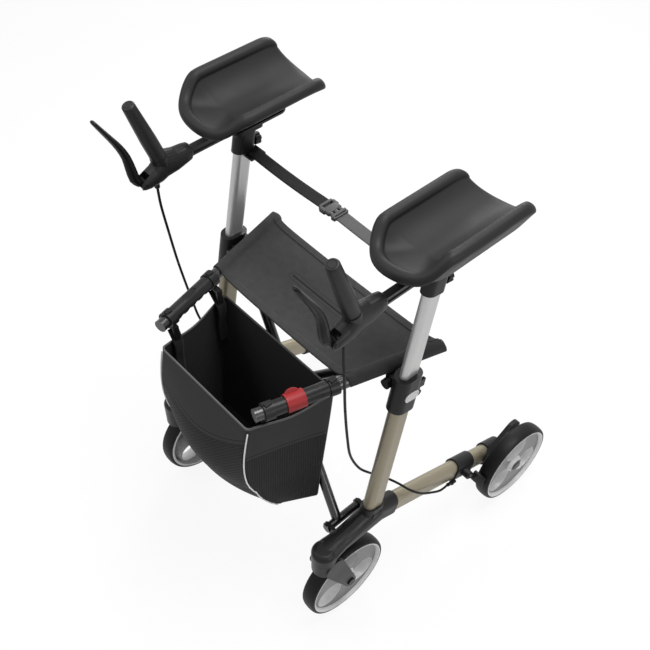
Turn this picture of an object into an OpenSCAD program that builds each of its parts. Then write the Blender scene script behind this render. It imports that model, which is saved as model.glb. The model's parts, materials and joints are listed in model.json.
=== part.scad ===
// Upright walker: a rollator with forearm troughs, hand grips, a fold-up seat and a bag.
// Millimetres, +Z up, ground at zero, front towards -Y, the user's left side towards +X.

/* [Wheels] */
// Diameter of each wheel over the tread
wheel_d = 200; // [185:1:210]
// Width of the tyre
tyre_w = 34; // [28:1:36]
// Thickness of the tyre over the rim
tyre_t = 8; // [6:0.5:12]
// Distance between the front and the rear axles
wheelbase = 474; // [450:1:500]
// Distance of the rear wheels outboard of the side frames
rear_out = 49; // [46:1:56]
// Diameter of the axle bolts
axle_d = 10; // [8:0.5:12]
// Diameter of the wheel hubs
hub_d = 34; // [28:1:40]
// Number of windows in each rim
window_count = 3; // [3:1:5]

/* [Side frames] */
// Distance between the centre planes of the two side frames
frame_span = 490; // [480:1:510]
// Height of the knee where upright and base tube meet
knee_h = 260; // [255:1:270]
// Distance of the knee behind the front axle
knee_back = 71; // [66:1:78]
// Backward lean of the uprights in degrees
upright_lean = 11.3; // [9:0.1:13]
// Width of the upright tube
upright_w = 26; // [24:0.5:28]
// Depth of the upright tube
upright_d = 44; // [42:0.5:46]
// Length of the upright above the knee
upright_len = 378; // [360:1:395]
// Width of the base tube
base_w = 30; // [28:0.5:32]
// Depth of the base tube
base_d = 48; // [44:0.5:50]
// Wall of the side-frame tubes
tube_wall = 2.5; // [2:0.1:3]
// Wall of the cast sockets round the tubes
socket_wall = 4; // [3:0.5:5]

/* [Casters] */
// Trail of the front axle behind the swivel axis
caster_trail = 51; // [44:1:56]
// Diameter of the caster head
head_d = 52; // [46:1:58]
// Height of the caster head
head_h = 31; // [28:1:36]
// Diameter of the swivel stem
stem_d = 18; // [14:0.5:22]
// Thickness of the fork legs
fork_t = 6; // [5:0.5:8]

/* [Seat frame] */
// Diameter of the seat tubes
seat_tube_d = 24; // [22:0.5:26]
// Distance of the seat tubes' front ends inboard of the side frames
tube_front_in = 109; // [105:1:114]
// Distance of the seat tubes' rear ends inboard of the side frames
tube_rear_in = 14; // [12:1:19]
// Height of the seat tubes at their front ends
tube_front_h = 637; // [632:1:645]
// Height of the seat tubes at their rear ends
tube_rear_h = 625; // [620:1:632]
// Diameter of the cross braces
brace_d = 20; // [18:0.5:22]
// Distance of the lower brace pivots inboard of the side frames
pivot_in = 40; // [37:0.5:43]
// Height of the lower brace pivots
pivot_h = 239; // [234:1:246]
// Clear gap between the two braces along the cross bolt
brace_gap = 4; // [3:0.5:10]
// Diameter of the pivot pins
pivot_d = 10; // [8:0.5:12]

/* [Forearm supports] */
// Length of a forearm trough
pad_len = 241; // [230:1:250]
// Width of a forearm trough between its rim crests
pad_crest_w = 143; // [136:1:150]
// Height of the rims over the bottom of the trough
pad_rim_h = 44; // [38:1:50]
// Thickness of the trough's foam
pad_t = 21; // [18:0.5:24]
// Tilt of the trough with its outer rim up, in degrees
pad_tilt = 8; // [4:0.5:10]
// Height of the rail that carries the hand grip
rail_h = 879; // [872:1:886]
// Width of the rail
rail_w = 14; // [12:0.5:16]
// Depth of the rail
rail_d = 16; // [14:0.5:18]
// Length of the rail
rail_len = 260; // [250:1:280]

/* [Hand grips and brakes] */
// Diameter of the grip at its foot
grip_d = 29; // [26:0.5:32]
// Diameter of the grip at its top
grip_top_d = 23; // [20:0.5:26]
// Length of the grip
grip_len = 131; // [122:1:138]
// Forward lean of the grip in degrees
grip_lean = 18; // [14:0.5:20]
// Width of the brake lever
lever_w = 17; // [14:0.5:19]
// Depth of the brake lever at its root
lever_t = 20; // [17:0.5:22]
// Diameter of the brake cable
cable_d = 5; // [4:0.5:6]

/* [Seat and bag] */
// Thickness of the seat fabric
seat_t = 2; // [1.5:0.1:2.5]
// Distance from the front to the rear edge of the seat
seat_depth = 188; // [180:1:194]
// Depth of the bag below its front rim
bag_drop = 314; // [290:1:330]
// Thickness of the bag's fabric
bag_t = 3; // [2:0.5:4]
// Width of the belt between the uprights
belt_w = 26; // [22:1:30]

/* [Fits] */
// Radial clearance of pins in their bores
run_gap = 0.05; // [0.03:0.01:0.08]
// Clearance between seated pieces
seat_gap = 0.2; // [0.15:0.05:0.3]
// Clearance between pieces that slide or pass
slide_gap = 0.4; // [0.35:0.05:0.6]

/* [Hidden] */
$fn = 48;
// Overrun of every cut past the faces that it goes through
over = 1;
// Facets of a hull's own children
hull_fn = 32;

// Places of the axles and the side frame; the origin lies under the middle of the part's box
axles_back = 24;
front_y = axles_back - wheelbase / 2;
rear_y = axles_back + wheelbase / 2;
axle_h = wheel_d / 2;
frame_x = frame_span / 2;
rear_x = frame_x + rear_out;
knee_y = front_y + knee_back;
base_drop = atan2(knee_h - axle_h, rear_y - knee_y);
base_run = norm([rear_y - knee_y, knee_h - axle_h]);
swivel_y = front_y - caster_trail;
tube_front_x = frame_x - tube_front_in;
tube_rear_x = frame_x - tube_rear_in;
pivot_x = frame_x - pivot_in;
brace_step = brace_d + brace_gap;

// Rim and tyre
rim_d = wheel_d - 2 * tyre_t;
rim_edge = 6;
rim_lip = 2;
rim_dish = 7;
rim_face_t = 3;
hub_side = 1.5;
hub_len = tyre_w + 2 * hub_side;
hub_draft = 5;
spoke_w = 24;
window_wall = 2.5;
window_throat_share = 0.8;
window_at = (hub_d / 2 + rim_d / 2 - rim_edge) / 2;
window_d = min(rim_d / 2 - rim_edge - hub_d / 2 - 2 * window_wall,
    2 * window_at * sin(180 / window_count) - spoke_w);
tyre_side_share = 0.25;
tyre_round_power = 0.75;

// Caster head and fork
wheel_room = 5;
head_lift = 44;
head_floor = axle_h + sqrt(pow(axle_h, 2) - pow(caster_trail, 2)) + head_lift;
head_dome = 12;
stem_share = 0.7;
stem_len = head_h * stem_share;
crown_t = 36;
crown_d = head_d;
leg_gap = 1.5;
leg_top_d = 48;
leg_foot_d = 28;
leg_top_back = 8;
leg_x = tyre_w / 2 + hub_side + leg_gap;
crown_z = head_floor - slide_gap - crown_t;
axle_head_d = 18;
axle_head_t = 3;

// Front casting
socket_up = 31;
socket_back = 62;
socket_bury = 26;
arm_w = 42;
arm_top_rise = 30;
arm_low_drop = 36;
arm_back = 16;
arm_rings = 10;
arm_waist_share = 0.35;
arm_level_share = 0.2;
arm_power = 2.6;
arm_rise_power = 1.25;
flute_share = 0.07;
flute_angle = 40;
flute_spread = 20;
section_points = 24;
lug_t = 7;
lug_d = 24;
lug_seat_share = 0.35;
sleeve_len = 74;
sleeve_wall = 4;
brace_wall = 2;

// Uprights, collars and inner tubes
inner_w = upright_w - 2 * (tube_wall + slide_gap);
inner_d = upright_d - 2 * (tube_wall + slide_gap);
inner_wall = 1.8;
collar_wall = 6;
collar_len = 82;
collar_lip = 10;
collar_slope = 14;
collar_at = upright_len - collar_len + collar_lip;
inner_bury = 200;
inner_foot = upright_len - inner_bury;
rail_under = 17.2;
inner_len = (rail_h - knee_h) / cos(upright_lean) - rail_under - inner_foot;
reflector_w = 21;
reflector_l = 34;
reflector_t = 1.6;
reflector_at = 40;
clamp_t = 8;
clamp_hub_d = 13;
clamp_len = 34;
clamp_axle_d = 6;
clamp_back = 8;
clamp_at = 46;
ear_t = 6;
ear_h = 18;
cradle_len = 36;
cradle_wall = 4.5;
cradle_in = 6;
cradle_knob_d = 20;
cradle_knob_l = 12;
gusset_t = 16;
gusset_drop = 44;

// Rear bracket and brake
bracket_len = 50;
bracket_wall = 4;
guard_t = 10;
guard_d = 46;
guard_front = 34;
guard_back = 34;
guard_rise = 56;
boss_d = 30;
cap_d = 27;
cap_t = 3;
cap_draft = 4;
brake_ahead = 165.6;
brake_at = base_run - brake_ahead;
brake_len = 56;
brake_wall = 4;
brake_boss_d = 20;
brake_boss_l = 8;
brake_pin_d = 8;
shoe_gap = 2.6;
shoe_len = 26;
shoe_t = 7;
shoe_angle = 12;
shoe_arm_t = 7;
shoe_arm_w = 18;
adjuster_d = 8;
adjuster_out = 0.3;
adjuster_ahead = 30.9;
adjuster_low = 6.8;
adjuster_nut_d = 11;
adjuster_nut_t = 4;

// Seat frame
tube_front_ahead = 178;
tube_front_y = knee_y - tube_front_ahead;
tube_rear_back = 172;
tube_rear_y = knee_y + tube_rear_back;
brace_foot_ahead = 39;
brace_foot_y = knee_y - brace_foot_ahead;
brace_top_back = 78;
brace_top_y = knee_y + brace_top_back;
cross_bolt_d = 8;
cross_head_d = 16;
cross_head_t = 4;
tube_cap_t = 4;
grip_front_ahead = 148;
grip_front_y = knee_y - grip_front_ahead;
grip_rear_ahead = 48;
grip_rear_y = knee_y - grip_rear_ahead;
tube_grip_wall = 2.3;
tube_grip_d = seat_tube_d + 2 * (seat_gap + tube_grip_wall);
finger_count = 4;
finger_d = 24;
finger_bite = 1.9;
finger_turn = 50;
pocket_w = 14;
pocket_l = 34;
pocket_deep = 1.8;
clip_len = 18;
clip_wall = 4.8;
clip_d = seat_tube_d + 2 * (seat_gap + clip_wall);
clip_hook_t = 5;
clip_latch_t = 5;
clip_latch_w = 9;
clip_hook_drop = 61;
tab_ahead = 109;
tab_at_y = knee_y - tab_ahead;
tab_wall = 2.4;
tab_len = 34;
tab_flap_t = 4;
tab_flap_out = 7;
tab_flap_angle = 35;
tab_d = tube_grip_d + 2 * (slide_gap + tab_wall);

// Forearm bracket
cup_wall = 4;
cup_len = 42;
cup_top = 20;
block_w = 34;
block_d = 62;
block_r = 8;
block_wall = 6;
plate_w = 84;
plate_d = 130;
plate_t = 5;
plate_r = 20;
plate_back = 130;
plate_y = knee_y + plate_back;
knob_d = 24;
knob_t = 12;
knob_shank_d = 8;
knob_lobes = 6;
knob_lobe_d = 7;
knob_at = 18;
belt_t = 2.5;
eye_len = 16;
eye_t = 5;
eye_w = 34;
belt_drop = 61;
belt_h = rail_h - belt_drop;
belt_back = 15;
buckle_w = 36;
buckle_l = 46;
buckle_t = 11;
buckle_r = 6;
buckle_notch_l = 18;
buckle_notch_w = 4;
buckle_x = -8;

// Forearm trough, its shape given as shares of its length and height
pad_shift = -4;
pad_front_back = 14;
pad_front_y = knee_y + pad_front_back;
pad_floor_gap = 19;
pad_lip_h = 7;
pad_dish_power = 2.3;
pad_wall_power = 6;
pad_inner_power = 3;
pad_dip_share = 0.3;
pad_dip_from_share = 0.02;
pad_dip_run_share = 0.28;
pad_horn_share = 0.18;
pad_horn_drop_share = 0.6;
pad_nose_share = 0.3;
pad_nose_power = 2.2;
pad_lip_share = 0.12;
pad_end_share = 0.1;
pad_tail_share = 0.04;
pad_crowd_share = 0.1;
pad_rings = 24;
pad_across = 16;
pad_edge = 5;

// Hand grip; the sections of its housing are shares of its length, height and width
rail_ahead = 39;
rail_front_y = knee_y - rail_ahead;
grip_ahead = 67;
grip_foot_y = knee_y - grip_ahead;
grip_rise = 21;
grip_foot_h = rail_h + grip_rise;
neck_len = 26;
neck_wall = 1.5;
cap_seam = 0.6;
house_ahead = 2;
house_rear_y = knee_y - house_ahead;
house_len = 111;
house_h = 56;
house_w = 32;
house_shares = [
    [0, -0.03, 0.22, 0.34], [0.03, -0.03, 0.29, 0.41], [0.12, -0.03, 0.33, 0.46],
    [0.3, 0, 0.4, 0.48], [0.5, -0.04, 0.48, 0.5],
    [0.62, 0.1, 0.42, 0.5], [0.72, 0.2, 0.32, 0.49], [0.85, 0.27, 0.27, 0.47],
    [0.95, 0.3, 0.2, 0.44], [1, 0.32, 0.12, 0.4],
];
lever_pin_ahead = 106;
lever_pin_y = knee_y - lever_pin_ahead;
lever_pin_drop = 15;
lever_pin_h = rail_h - lever_pin_drop;
lever_pin_d = 6;
lever_pin_share = 0.85;
lever_hub_d = 17;
lever_side_gap = 0.5;
lever_reach = 71;
lever_rise = 165;
lever_shares = [
    [0.08, 0.01, 0.75, 1], [0.19, 0.1, 1, 1], [0.25, 0.25, 0.95, 1], [0.31, 0.4, 0.8, 0.9],
    [0.44, 0.55, 0.66, 0.95], [0.62, 0.7, 0.52, 1.08], [0.8, 0.84, 0.44, 1.15],
    [0.92, 0.935, 0.38, 1.05], [0.97, 0.975, 0.32, 0.75],
];
lever_tip_share = 0.55;
lever_steps = 2;
lever_sides = 12;
guide_d = 10;
guide_in = 3;
guide_ahead = 13;
guide_seat = 23;

// Seat and bag
seat_ahead = 15;
seat_front_y = knee_y - seat_ahead;
seat_wrap_from = -8;
seat_wrap_to = 150;
seat_arc = 10;
seat_sag = 5;
seat_spans = 6;
seat_rows = 3;
bag_front_ahead = 192;
bag_front_y = knee_y - bag_front_ahead;
bag_back_ahead = 18;
bag_back_y = knee_y - bag_back_ahead;
bag_rim_drop = 44;
bag_front_in = 8;
bag_back_in = 18.6;
bag_taper = 8;
bag_back_lean = 32;
bag_front_lean = 60;
bag_lean_from_share = 0.45;
bag_lean_power = 2.2;
bag_bulge = 16;
bag_bulge_share = 0.68;
bag_belly = 30;
bag_belly_share = 0.7;
bag_scoop = 24;
bag_corner_r = 12;
bag_rows = 12;
bag_corner_points = 5;
bag_panel_points = 5;

// Route of the left brake cable, from the hand grip to the brake
cable_route = [
    [242, -222, 846], [242, -221, 800], [240, -216, 740], [235, -208, 650],
    [229, -195, 550], [226, -183, 480], [222, -156, 410], [219, -126, 360],
    [220, -101, 327], [230, -82, 306], [248, -68, 294], [266, -48, 268],
    [273, -21, 236], [273, 14, 202], [271, 46, 174], [266, 76, 158],
];
cable_sides = 8;
cable_steps = 2;

function clamp01(t) = min(max(t, 0), 1);
function smooth(t) = let (c = clamp01(t)) c * c * (3 - 2 * c);
function mix(a, b, t) = a + (b - a) * t;
function unit(v) = v / norm(v);

// Point of the left seat tube's axis at a distance y along the walker
function tube_at(y) = mix(
    [tube_front_x, tube_front_y, tube_front_h],
    [tube_rear_x, tube_rear_y, tube_rear_h],
    (y - tube_front_y) / (tube_rear_y - tube_front_y));

// Half widths of the bag at its rim, front and back
bag_front_half = tube_front_x - bag_front_in;
bag_back_half = tube_at(bag_back_y).x - bag_back_in;

// Catmull-Rom point between the second and third of four points
function spline(a, b, c, d, t) =
    0.5 * (2 * b + (c - a) * t + (2 * a - 5 * b + 4 * c - d) * t * t
    + (3 * b - a - 3 * c + d) * t * t * t);

// A route with extra points between its own
function refined(route, steps) = let (last = len(route) - 1) concat(
    [for (i = [0 : last - 1], k = [0 : steps - 1]) spline(
        route[max(i - 1, 0)], route[i], route[i + 1], route[min(i + 2, last)], k / steps)],
    [route[last]]);

// Skin over rings of points; each ring's first half faces its second half
module loft(rings) {
    n = len(rings[0]);
    last = len(rings) - 1;
    half = floor(n / 2) - 1;
    sides = [for (i = [0 : last - 1], j = [0 : n - 1])
        let (a = i * n + j, b = i * n + (j + 1) % n) each [[a, a + n, b + n], [a, b + n, b]]];
    foot = [for (j = [0 : half - 1])
        each [[j, j + 1, n - 2 - j], [j, n - 2 - j, n - 1 - j]]];
    head = [for (f = foot) [f[2], f[1], f[0]] + last * n * [1, 1, 1]];
    polyhedron(points = [for (r = rings) each r], faces = concat(sides, foot, head), convexity = 6);
}

// Round tube of one polyhedron along a route
module swept_tube(route, d, sides) {
    last = len(route) - 1;
    lean = [0.8, 0.1, 0.6];
    loft([for (i = [0 : last])
        let (
            t = unit(route[min(i + 1, last)] - route[max(i - 1, 0)]),
            u = unit(cross(t, lean)),
            v = cross(t, u))
        [for (k = [0 : sides - 1]) route[i]
            + (u * cos(360 * k / sides) + v * sin(360 * k / sides)) * d / 2]]);
}

// Round bar between two points
module rod(a, b, d) {
    v = b - a;
    translate(a) rotate([0, acos(v.z / norm(v)), atan2(v.y, v.x)]) cylinder(d = d, h = norm(v));
}

// Flat oval, w across and d deep, with round ends
module oval(w, d) {
    square([w, d - w], center = true);
    for (s = [-1, 1]) translate([0, s * (d - w) / 2]) circle(d = w);
}

// Flat oval tube or bar
module oval_bar(w, d, h) {
    linear_extrude(h) oval(w, d);
}

module oval_tube(w, d, wall, h) {
    difference() {
        oval_bar(w, d, h);
        translate([0, 0, -over]) oval_bar(w - 2 * wall, d - 2 * wall, h + 2 * over);
    }
}

// Places a child at a distance along the left upright's axis, measured from the knee
module on_upright(s) {
    translate([frame_x, knee_y, knee_h]) rotate([-upright_lean, 0, 0]) translate([0, 0, s])
        children();
}

// Places a child at a distance along the left base tube's axis, measured from the knee
module on_base(s) {
    translate([frame_x, knee_y, knee_h]) rotate([-90 - base_drop, 0, 0]) translate([0, 0, s])
        children();
}

// Turns a child's Z axis along +X
module along_x() {
    rotate([0, 90, 0]) children();
}

// Turns a child's Z axis along +Y
module along_y() {
    rotate([-90, 0, 0]) children();
}

// The same piece on the user's right side
module right() {
    mirror([1, 0, 0]) children();
}

// Tyre with a round tread on a flat bed
module tyre_shape(x, y) {
    bed = rim_d / 2 + seat_gap;
    wall = wheel_d / 2 - bed;
    half = tyre_w / 2;
    color([0.13, 0.13, 0.13]) translate([x, y, axle_h]) along_x() rotate_extrude($fn = 96)
        polygon(concat(
            [[bed, -half]],
            [for (a = [-90 : 15 : 90]) [
                bed + wall * mix(tyre_side_share, 1, pow(max(cos(a), 0), tyre_round_power)),
                half * sin(a)]],
            [[bed, half]]));
}

// Moulded rim: hub, thin face and barrel, with scooped windows whose walls slope inwards
module rim_shape(x, y) {
    r = rim_d / 2;
    bore = axle_d / 2 + run_gap;
    half = tyre_w / 2;
    top = half - rim_dish;
    low = top - rim_face_t;
    color([0.72, 0.72, 0.72]) translate([x, y, axle_h]) along_x() difference() {
        union() {
            rotate_extrude($fn = 96) polygon([
                [bore, -hub_len / 2], [hub_d / 2, -hub_len / 2], [hub_d / 2 + hub_draft, low],
                [r - rim_edge, low], [r - rim_edge, -half], [r, -half], [r, half],
                [r - rim_lip, half], [r - rim_edge, top], [hub_d / 2 + hub_draft, top],
                [hub_d / 2, hub_len / 2], [bore, hub_len / 2]]);
            for (k = [0 : window_count - 1]) window_place(k) translate([0, 0, -half])
                window_cone(2 * window_wall, half + top, 0);
        }
        for (k = [0 : window_count - 1]) window_place(k) translate([0, 0, -half])
            window_cone(0, half + top, over);
        translate([0, 0, -hub_len]) cylinder(r = bore, h = 2 * hub_len);
    }
}

module window_place(k) {
    rotate([0, 0, 360 * k / window_count + 180 / window_count]) translate([window_at, 0, 0]) children();
}

// Cone of a window, wider by a length and longer by an overrun at both ends
module window_cone(more, h, end) {
    slope = window_d * (1 - window_throat_share) / h;
    low = window_d * window_throat_share + more;
    translate([0, 0, -end]) cylinder(
        d1 = low - slope * end, d2 = window_d + more + slope * end, h = h + 2 * end);
}

// Ring of a sculpted section in a plane across the walker: half width, half height and squareness
function section_ring(y, z, w, h, power, flute) = [for (k = [0 : section_points - 1])
    let (
        a = 360 * k / section_points,
        r = pow(pow(abs(cos(a)), power) + pow(abs(sin(a)), power), -1 / power),
        dent = 1 - flute * exp(-pow((abs(a - 90) - flute_angle) / flute_spread, 2)))
    [frame_x + w * r * cos(a) * dent, y, z + h * r * sin(a) * dent]];

// Top and foot of the casting's arm at a share of the way from the caster head to the knee
function arm_top_h(t) = mix(head_floor + head_h, knee_h + arm_top_rise, pow(t, arm_rise_power));
function arm_low_h(t) = mix(head_floor + seat_gap, knee_h - arm_low_drop,
    clamp01((t - arm_level_share) / (1 - arm_level_share)));

// Section of the casting's arm at such a share
function arm_ring(t) =
    let (
        top = arm_top_h(t),
        low = arm_low_h(t),
        w = mix(head_d / 2, arm_w / 2, smooth(t / arm_waist_share)))
    section_ring(mix(swivel_y, knee_y + arm_back, t), (top + low) / 2, w, (top - low) / 2,
        arm_power, flute_share * smooth(t / arm_waist_share));

// Sculpted casting from the caster head back to the knee, with sockets for both tubes
module front_casting_shape() {
    color([0.2, 0.2, 0.2]) difference() {
        union() {
            translate([frame_x, swivel_y, head_floor]) caster_head();
            loft([for (i = [arm_rings : -1 : 0]) arm_ring(i / arm_rings)]);
            on_upright(-socket_bury) oval_bar(
                upright_w + 2 * socket_wall, upright_d + 2 * socket_wall, socket_bury + socket_up);
            on_base(-socket_bury / 2) oval_bar(
                base_w + 2 * socket_wall, base_d + 2 * socket_wall, socket_bury / 2 + socket_back);
            for (y = [sleeve_front_y() - lug_t - seat_gap, sleeve_front_y() + sleeve_len + seat_gap])
                brace_lug(y);
        }
        on_upright(0) oval_bar(
            upright_w + 2 * seat_gap, upright_d + 2 * seat_gap, 2 * socket_up);
        on_base(base_w) oval_bar(
            base_w + 2 * seat_gap, base_d + 2 * seat_gap, socket_back + over);
        translate([frame_x, swivel_y, head_floor - over])
            cylinder(d = stem_d + 2 * run_gap, h = stem_len + slide_gap + over);
        pivot_bar(pivot_d + 2 * run_gap, lug_t + 2 * seat_gap + over);
    }
}

// Round caster head with a domed top
module caster_head() {
    r = head_d / 2;
    rotate_extrude() {
        square([r - head_dome, head_h]);
        square([r, head_h - head_dome]);
        translate([r - head_dome, head_h - head_dome]) intersection() {
            circle(r = head_dome);
            square(head_dome);
        }
    }
}

// Front end of the brace pivots' sleeves
function sleeve_front_y() = brace_foot_y - brace_step / 2 - brace_d;

// Lug that carries one end of a brace sleeve on the inner side of the casting, and reaches its arm
module brace_lug(y) {
    t = clamp01((y - swivel_y) / (knee_y + arm_back - swivel_y));
    seat = mix(arm_low_h(t), arm_top_h(t), lug_seat_share);
    foot = min(pivot_h - lug_d / 2, seat);
    translate([pivot_x, y, pivot_h]) along_y() cylinder(d = lug_d, h = lug_t);
    translate([pivot_x, y, foot])
        cube([frame_x - pivot_x, lug_t, max(pivot_h + lug_d / 2, seat) - foot]);
}

// Bar along a brace pivot that overruns the sleeve by a length at each end
module pivot_bar(d, overrun) {
    translate([pivot_x, sleeve_front_y() - overrun, pivot_h]) along_y()
        cylinder(d = d, h = sleeve_len + 2 * overrun);
}

module upright_shape() {
    color([0.51, 0.48, 0.41]) on_upright(seat_gap)
        oval_tube(upright_w, upright_d, tube_wall, upright_len);
}

module base_tube_shape() {
    color([0.51, 0.48, 0.41]) on_base(base_w + seat_gap)
        oval_tube(base_w, base_d, tube_wall, base_run - base_w - bracket_len / 2);
}

// Rear end piece: sleeve over the base tube, wheel guard and axle boss
module rear_bracket_shape() {
    inner = rear_x - hub_len / 2 - slide_gap;
    side = frame_x + base_w / 2 + bracket_wall;
    color([0.2, 0.2, 0.2]) difference() {
        union() {
            on_base(base_run - bracket_len) oval_bar(
                base_w + 2 * bracket_wall, base_d + 2 * bracket_wall, bracket_len);
            hull() {
                for (p = [[0, 0], [-guard_front, guard_front / 2], [guard_back, guard_rise]])
                    translate([side - guard_t, rear_y + p.x, axle_h + p.y]) along_x()
                        cylinder(d = guard_d, h = guard_t, $fn = hull_fn);
            }
            translate([frame_x, rear_y, axle_h]) along_x() cylinder(d = boss_d, h = inner - frame_x);
        }
        on_base(base_run - bracket_len - guard_d) oval_bar(
            base_w + 2 * seat_gap, base_d + 2 * seat_gap, bracket_len / 2 + 2 * seat_gap + guard_d);
        translate([frame_x - base_w, rear_y, axle_h]) along_x()
            cylinder(d = axle_d + 2 * run_gap, h = base_w + rear_out);
    }
}

// Rear axle bolt with its cap, brace pivot pin and brake pin
module frame_bolts_shape() {
    foot = frame_x - base_w / 2 - bracket_wall - seat_gap;
    tip = rear_x + hub_len / 2 + slide_gap;
    color([0.16, 0.16, 0.16]) translate([0, rear_y, axle_h]) {
        translate([foot, 0, 0]) along_x() cylinder(d = axle_d, h = tip - foot);
        translate([foot - axle_head_t, 0, 0]) along_x() cylinder(d = axle_head_d, h = axle_head_t);
        translate([tip, 0, 0]) along_x() cylinder(d1 = cap_d, d2 = cap_d - 2 * cap_draft, h = cap_t);
    }
    color([0.6, 0.6, 0.6]) {
        pivot_bar(pivot_d, lug_t + 2 * seat_gap);
        for (y = [sleeve_front_y() - lug_t - 2 * seat_gap - axle_head_t,
                sleeve_front_y() + sleeve_len + lug_t + 2 * seat_gap])
            translate([pivot_x, y, pivot_h]) along_y() cylinder(d = axle_head_d, h = axle_head_t);
        brake_pin();
    }
}

// Height collar: sleeve at the upright's top, cradle for the seat tube and ears of the clamp
module collar_shape() {
    w = upright_w + 2 * collar_wall;
    d = upright_d + 2 * collar_wall;
    color([0.19, 0.19, 0.19]) difference() {
        union() {
            on_upright(collar_at) oval_bar(w, d, collar_len);
            cradle_block();
            on_upright(collar_at + clamp_at) for (s = [-1, 1])
                translate([s * (clamp_t + ear_t + 2 * slide_gap) / 2, d / 2 - collar_wall, -ear_h / 2])
                    translate([-ear_t / 2, 0, 0])
                        cube([ear_t, collar_wall + clamp_back + clamp_axle_d, ear_h]);
        }
        on_upright(collar_at - over) oval_bar(
            upright_w + 2 * seat_gap, upright_d + 2 * seat_gap,
            collar_len - collar_lip + 2 * seat_gap + over);
        on_upright(collar_at) oval_bar(
            inner_w + 2 * slide_gap, inner_d + 2 * slide_gap, collar_len + over);
        on_upright(collar_at + collar_len) translate([-w, 0, 0]) rotate([collar_slope, 0, 0])
            translate([0, -d, 0]) cube([2 * w, d, collar_len]);
        tube_cut();
        on_upright(collar_at + reflector_at) translate([w / 2 - reflector_t / 2, 0, 0])
            reflector_body(2 * seat_gap, over);
        on_upright(collar_at + clamp_at) translate([-w, d / 2 + clamp_back, 0]) along_x()
            cylinder(d = clamp_axle_d + 2 * run_gap, h = 2 * w);
    }
}

// Point of the seat tube's axis that rests in the collar's cradle
function cradle_point() = tube_at(knee_y + (tube_rear_h - knee_h) * tan(upright_lean));

// Cradle under the seat tube, on a gusset from the collar, with a round boss in front
module cradle_block() {
    mid = cradle_point();
    r = seat_tube_d / 2 + slide_gap + cradle_wall;
    side = frame_x - upright_w / 2;
    inner = mid.x + cradle_in;
    color([0.19, 0.19, 0.19]) {
        translate([inner, mid.y - cradle_len / 2, mid.z - r])
            cube([side - inner, cradle_len, r - cradle_wall]);
        translate([0, mid.y + gusset_t / 2, mid.z - r + cradle_wall]) rotate([90, 0, 0])
            linear_extrude(gusset_t) polygon([[inner, 0], [side, 0], [side, -gusset_drop]]);
        translate([inner + cradle_knob_d / 2, mid.y - cradle_len / 2 - cradle_knob_l, mid.z - r])
            along_y() cylinder(d = cradle_knob_d, h = cradle_len / 2 + cradle_knob_l);
        rod([side - collar_wall / 2, mid.y, mid.z - r + cradle_wall / 2], collar_mid(), cradle_wall);
    }
}

// Point in the inner wall of the collar, at half its length
function collar_mid() = let (s = collar_at + collar_len / 2)
    [frame_x - (upright_w + collar_wall) / 2, knee_y + s * sin(upright_lean), knee_h + s * cos(upright_lean)];

// Room for the seat tube in its cradle, open at the top
module tube_cut() {
    d = seat_tube_d + 2 * slide_gap;
    a = tube_at(brace_foot_y);
    b = tube_at(tube_rear_y);
    rod(a, b, d);
    translate([0, 0, d / 2]) rod(a, b, d);
}

// Clamp lever behind the collar, on its own axle
module clamp_lever_shape() {
    d = upright_d + 2 * collar_wall;
    axle_l = clamp_t + 2 * (slide_gap + ear_t);
    color([0.15, 0.15, 0.15]) on_upright(collar_at + clamp_at) translate([0, d / 2 + clamp_back, 0]) {
        translate([-axle_l / 2, 0, 0]) along_x() cylinder(d = clamp_axle_d, h = axle_l);
        translate([-clamp_t / 2, 0, 0]) along_x() cylinder(d = clamp_hub_d, h = clamp_t);
        translate([-clamp_t / 2, 0, -clamp_len]) cube([clamp_t, clamp_hub_d / 2, clamp_len]);
        translate([-clamp_t / 2, clamp_hub_d / 2, -clamp_len]) along_x()
            cylinder(d = clamp_hub_d, h = clamp_t);
    }
}

// Oval reflector body, grown by a gap and thickened by a length
module reflector_body(gap, extra) {
    along_x() linear_extrude(reflector_t + extra) oval(reflector_w + gap, reflector_l + gap);
}

module reflector_shape() {
    w = upright_w + 2 * collar_wall;
    color([0.88, 0.88, 0.88]) on_upright(collar_at + reflector_at)
        translate([w / 2 - reflector_t / 2 + seat_gap, 0, 0]) reflector_body(0, 0);
}

module inner_tube_shape() {
    color([0.73, 0.73, 0.73]) on_upright(inner_foot) oval_tube(inner_w, inner_d, inner_wall, inner_len);
}

// Distance along the upright at which its axis meets the rail, and the place there
function rail_s() = (rail_h - knee_h) / cos(upright_lean);
function rail_cross_y() = knee_y + (rail_h - knee_h) * tan(upright_lean);

// Distance along the upright of the foot of the forearm bracket's cup
function cup_s() = inner_foot + inner_len + seat_gap - cup_len;

// Rectangle with round corners
module round_rect(w, d, r) {
    square([w - 2 * r, d], center = true);
    square([w, d - 2 * r], center = true);
    for (x = [-1, 1], y = [-1, 1]) translate([x * (w / 2 - r), y * (d / 2 - r)]) circle(r = r);
}

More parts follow.
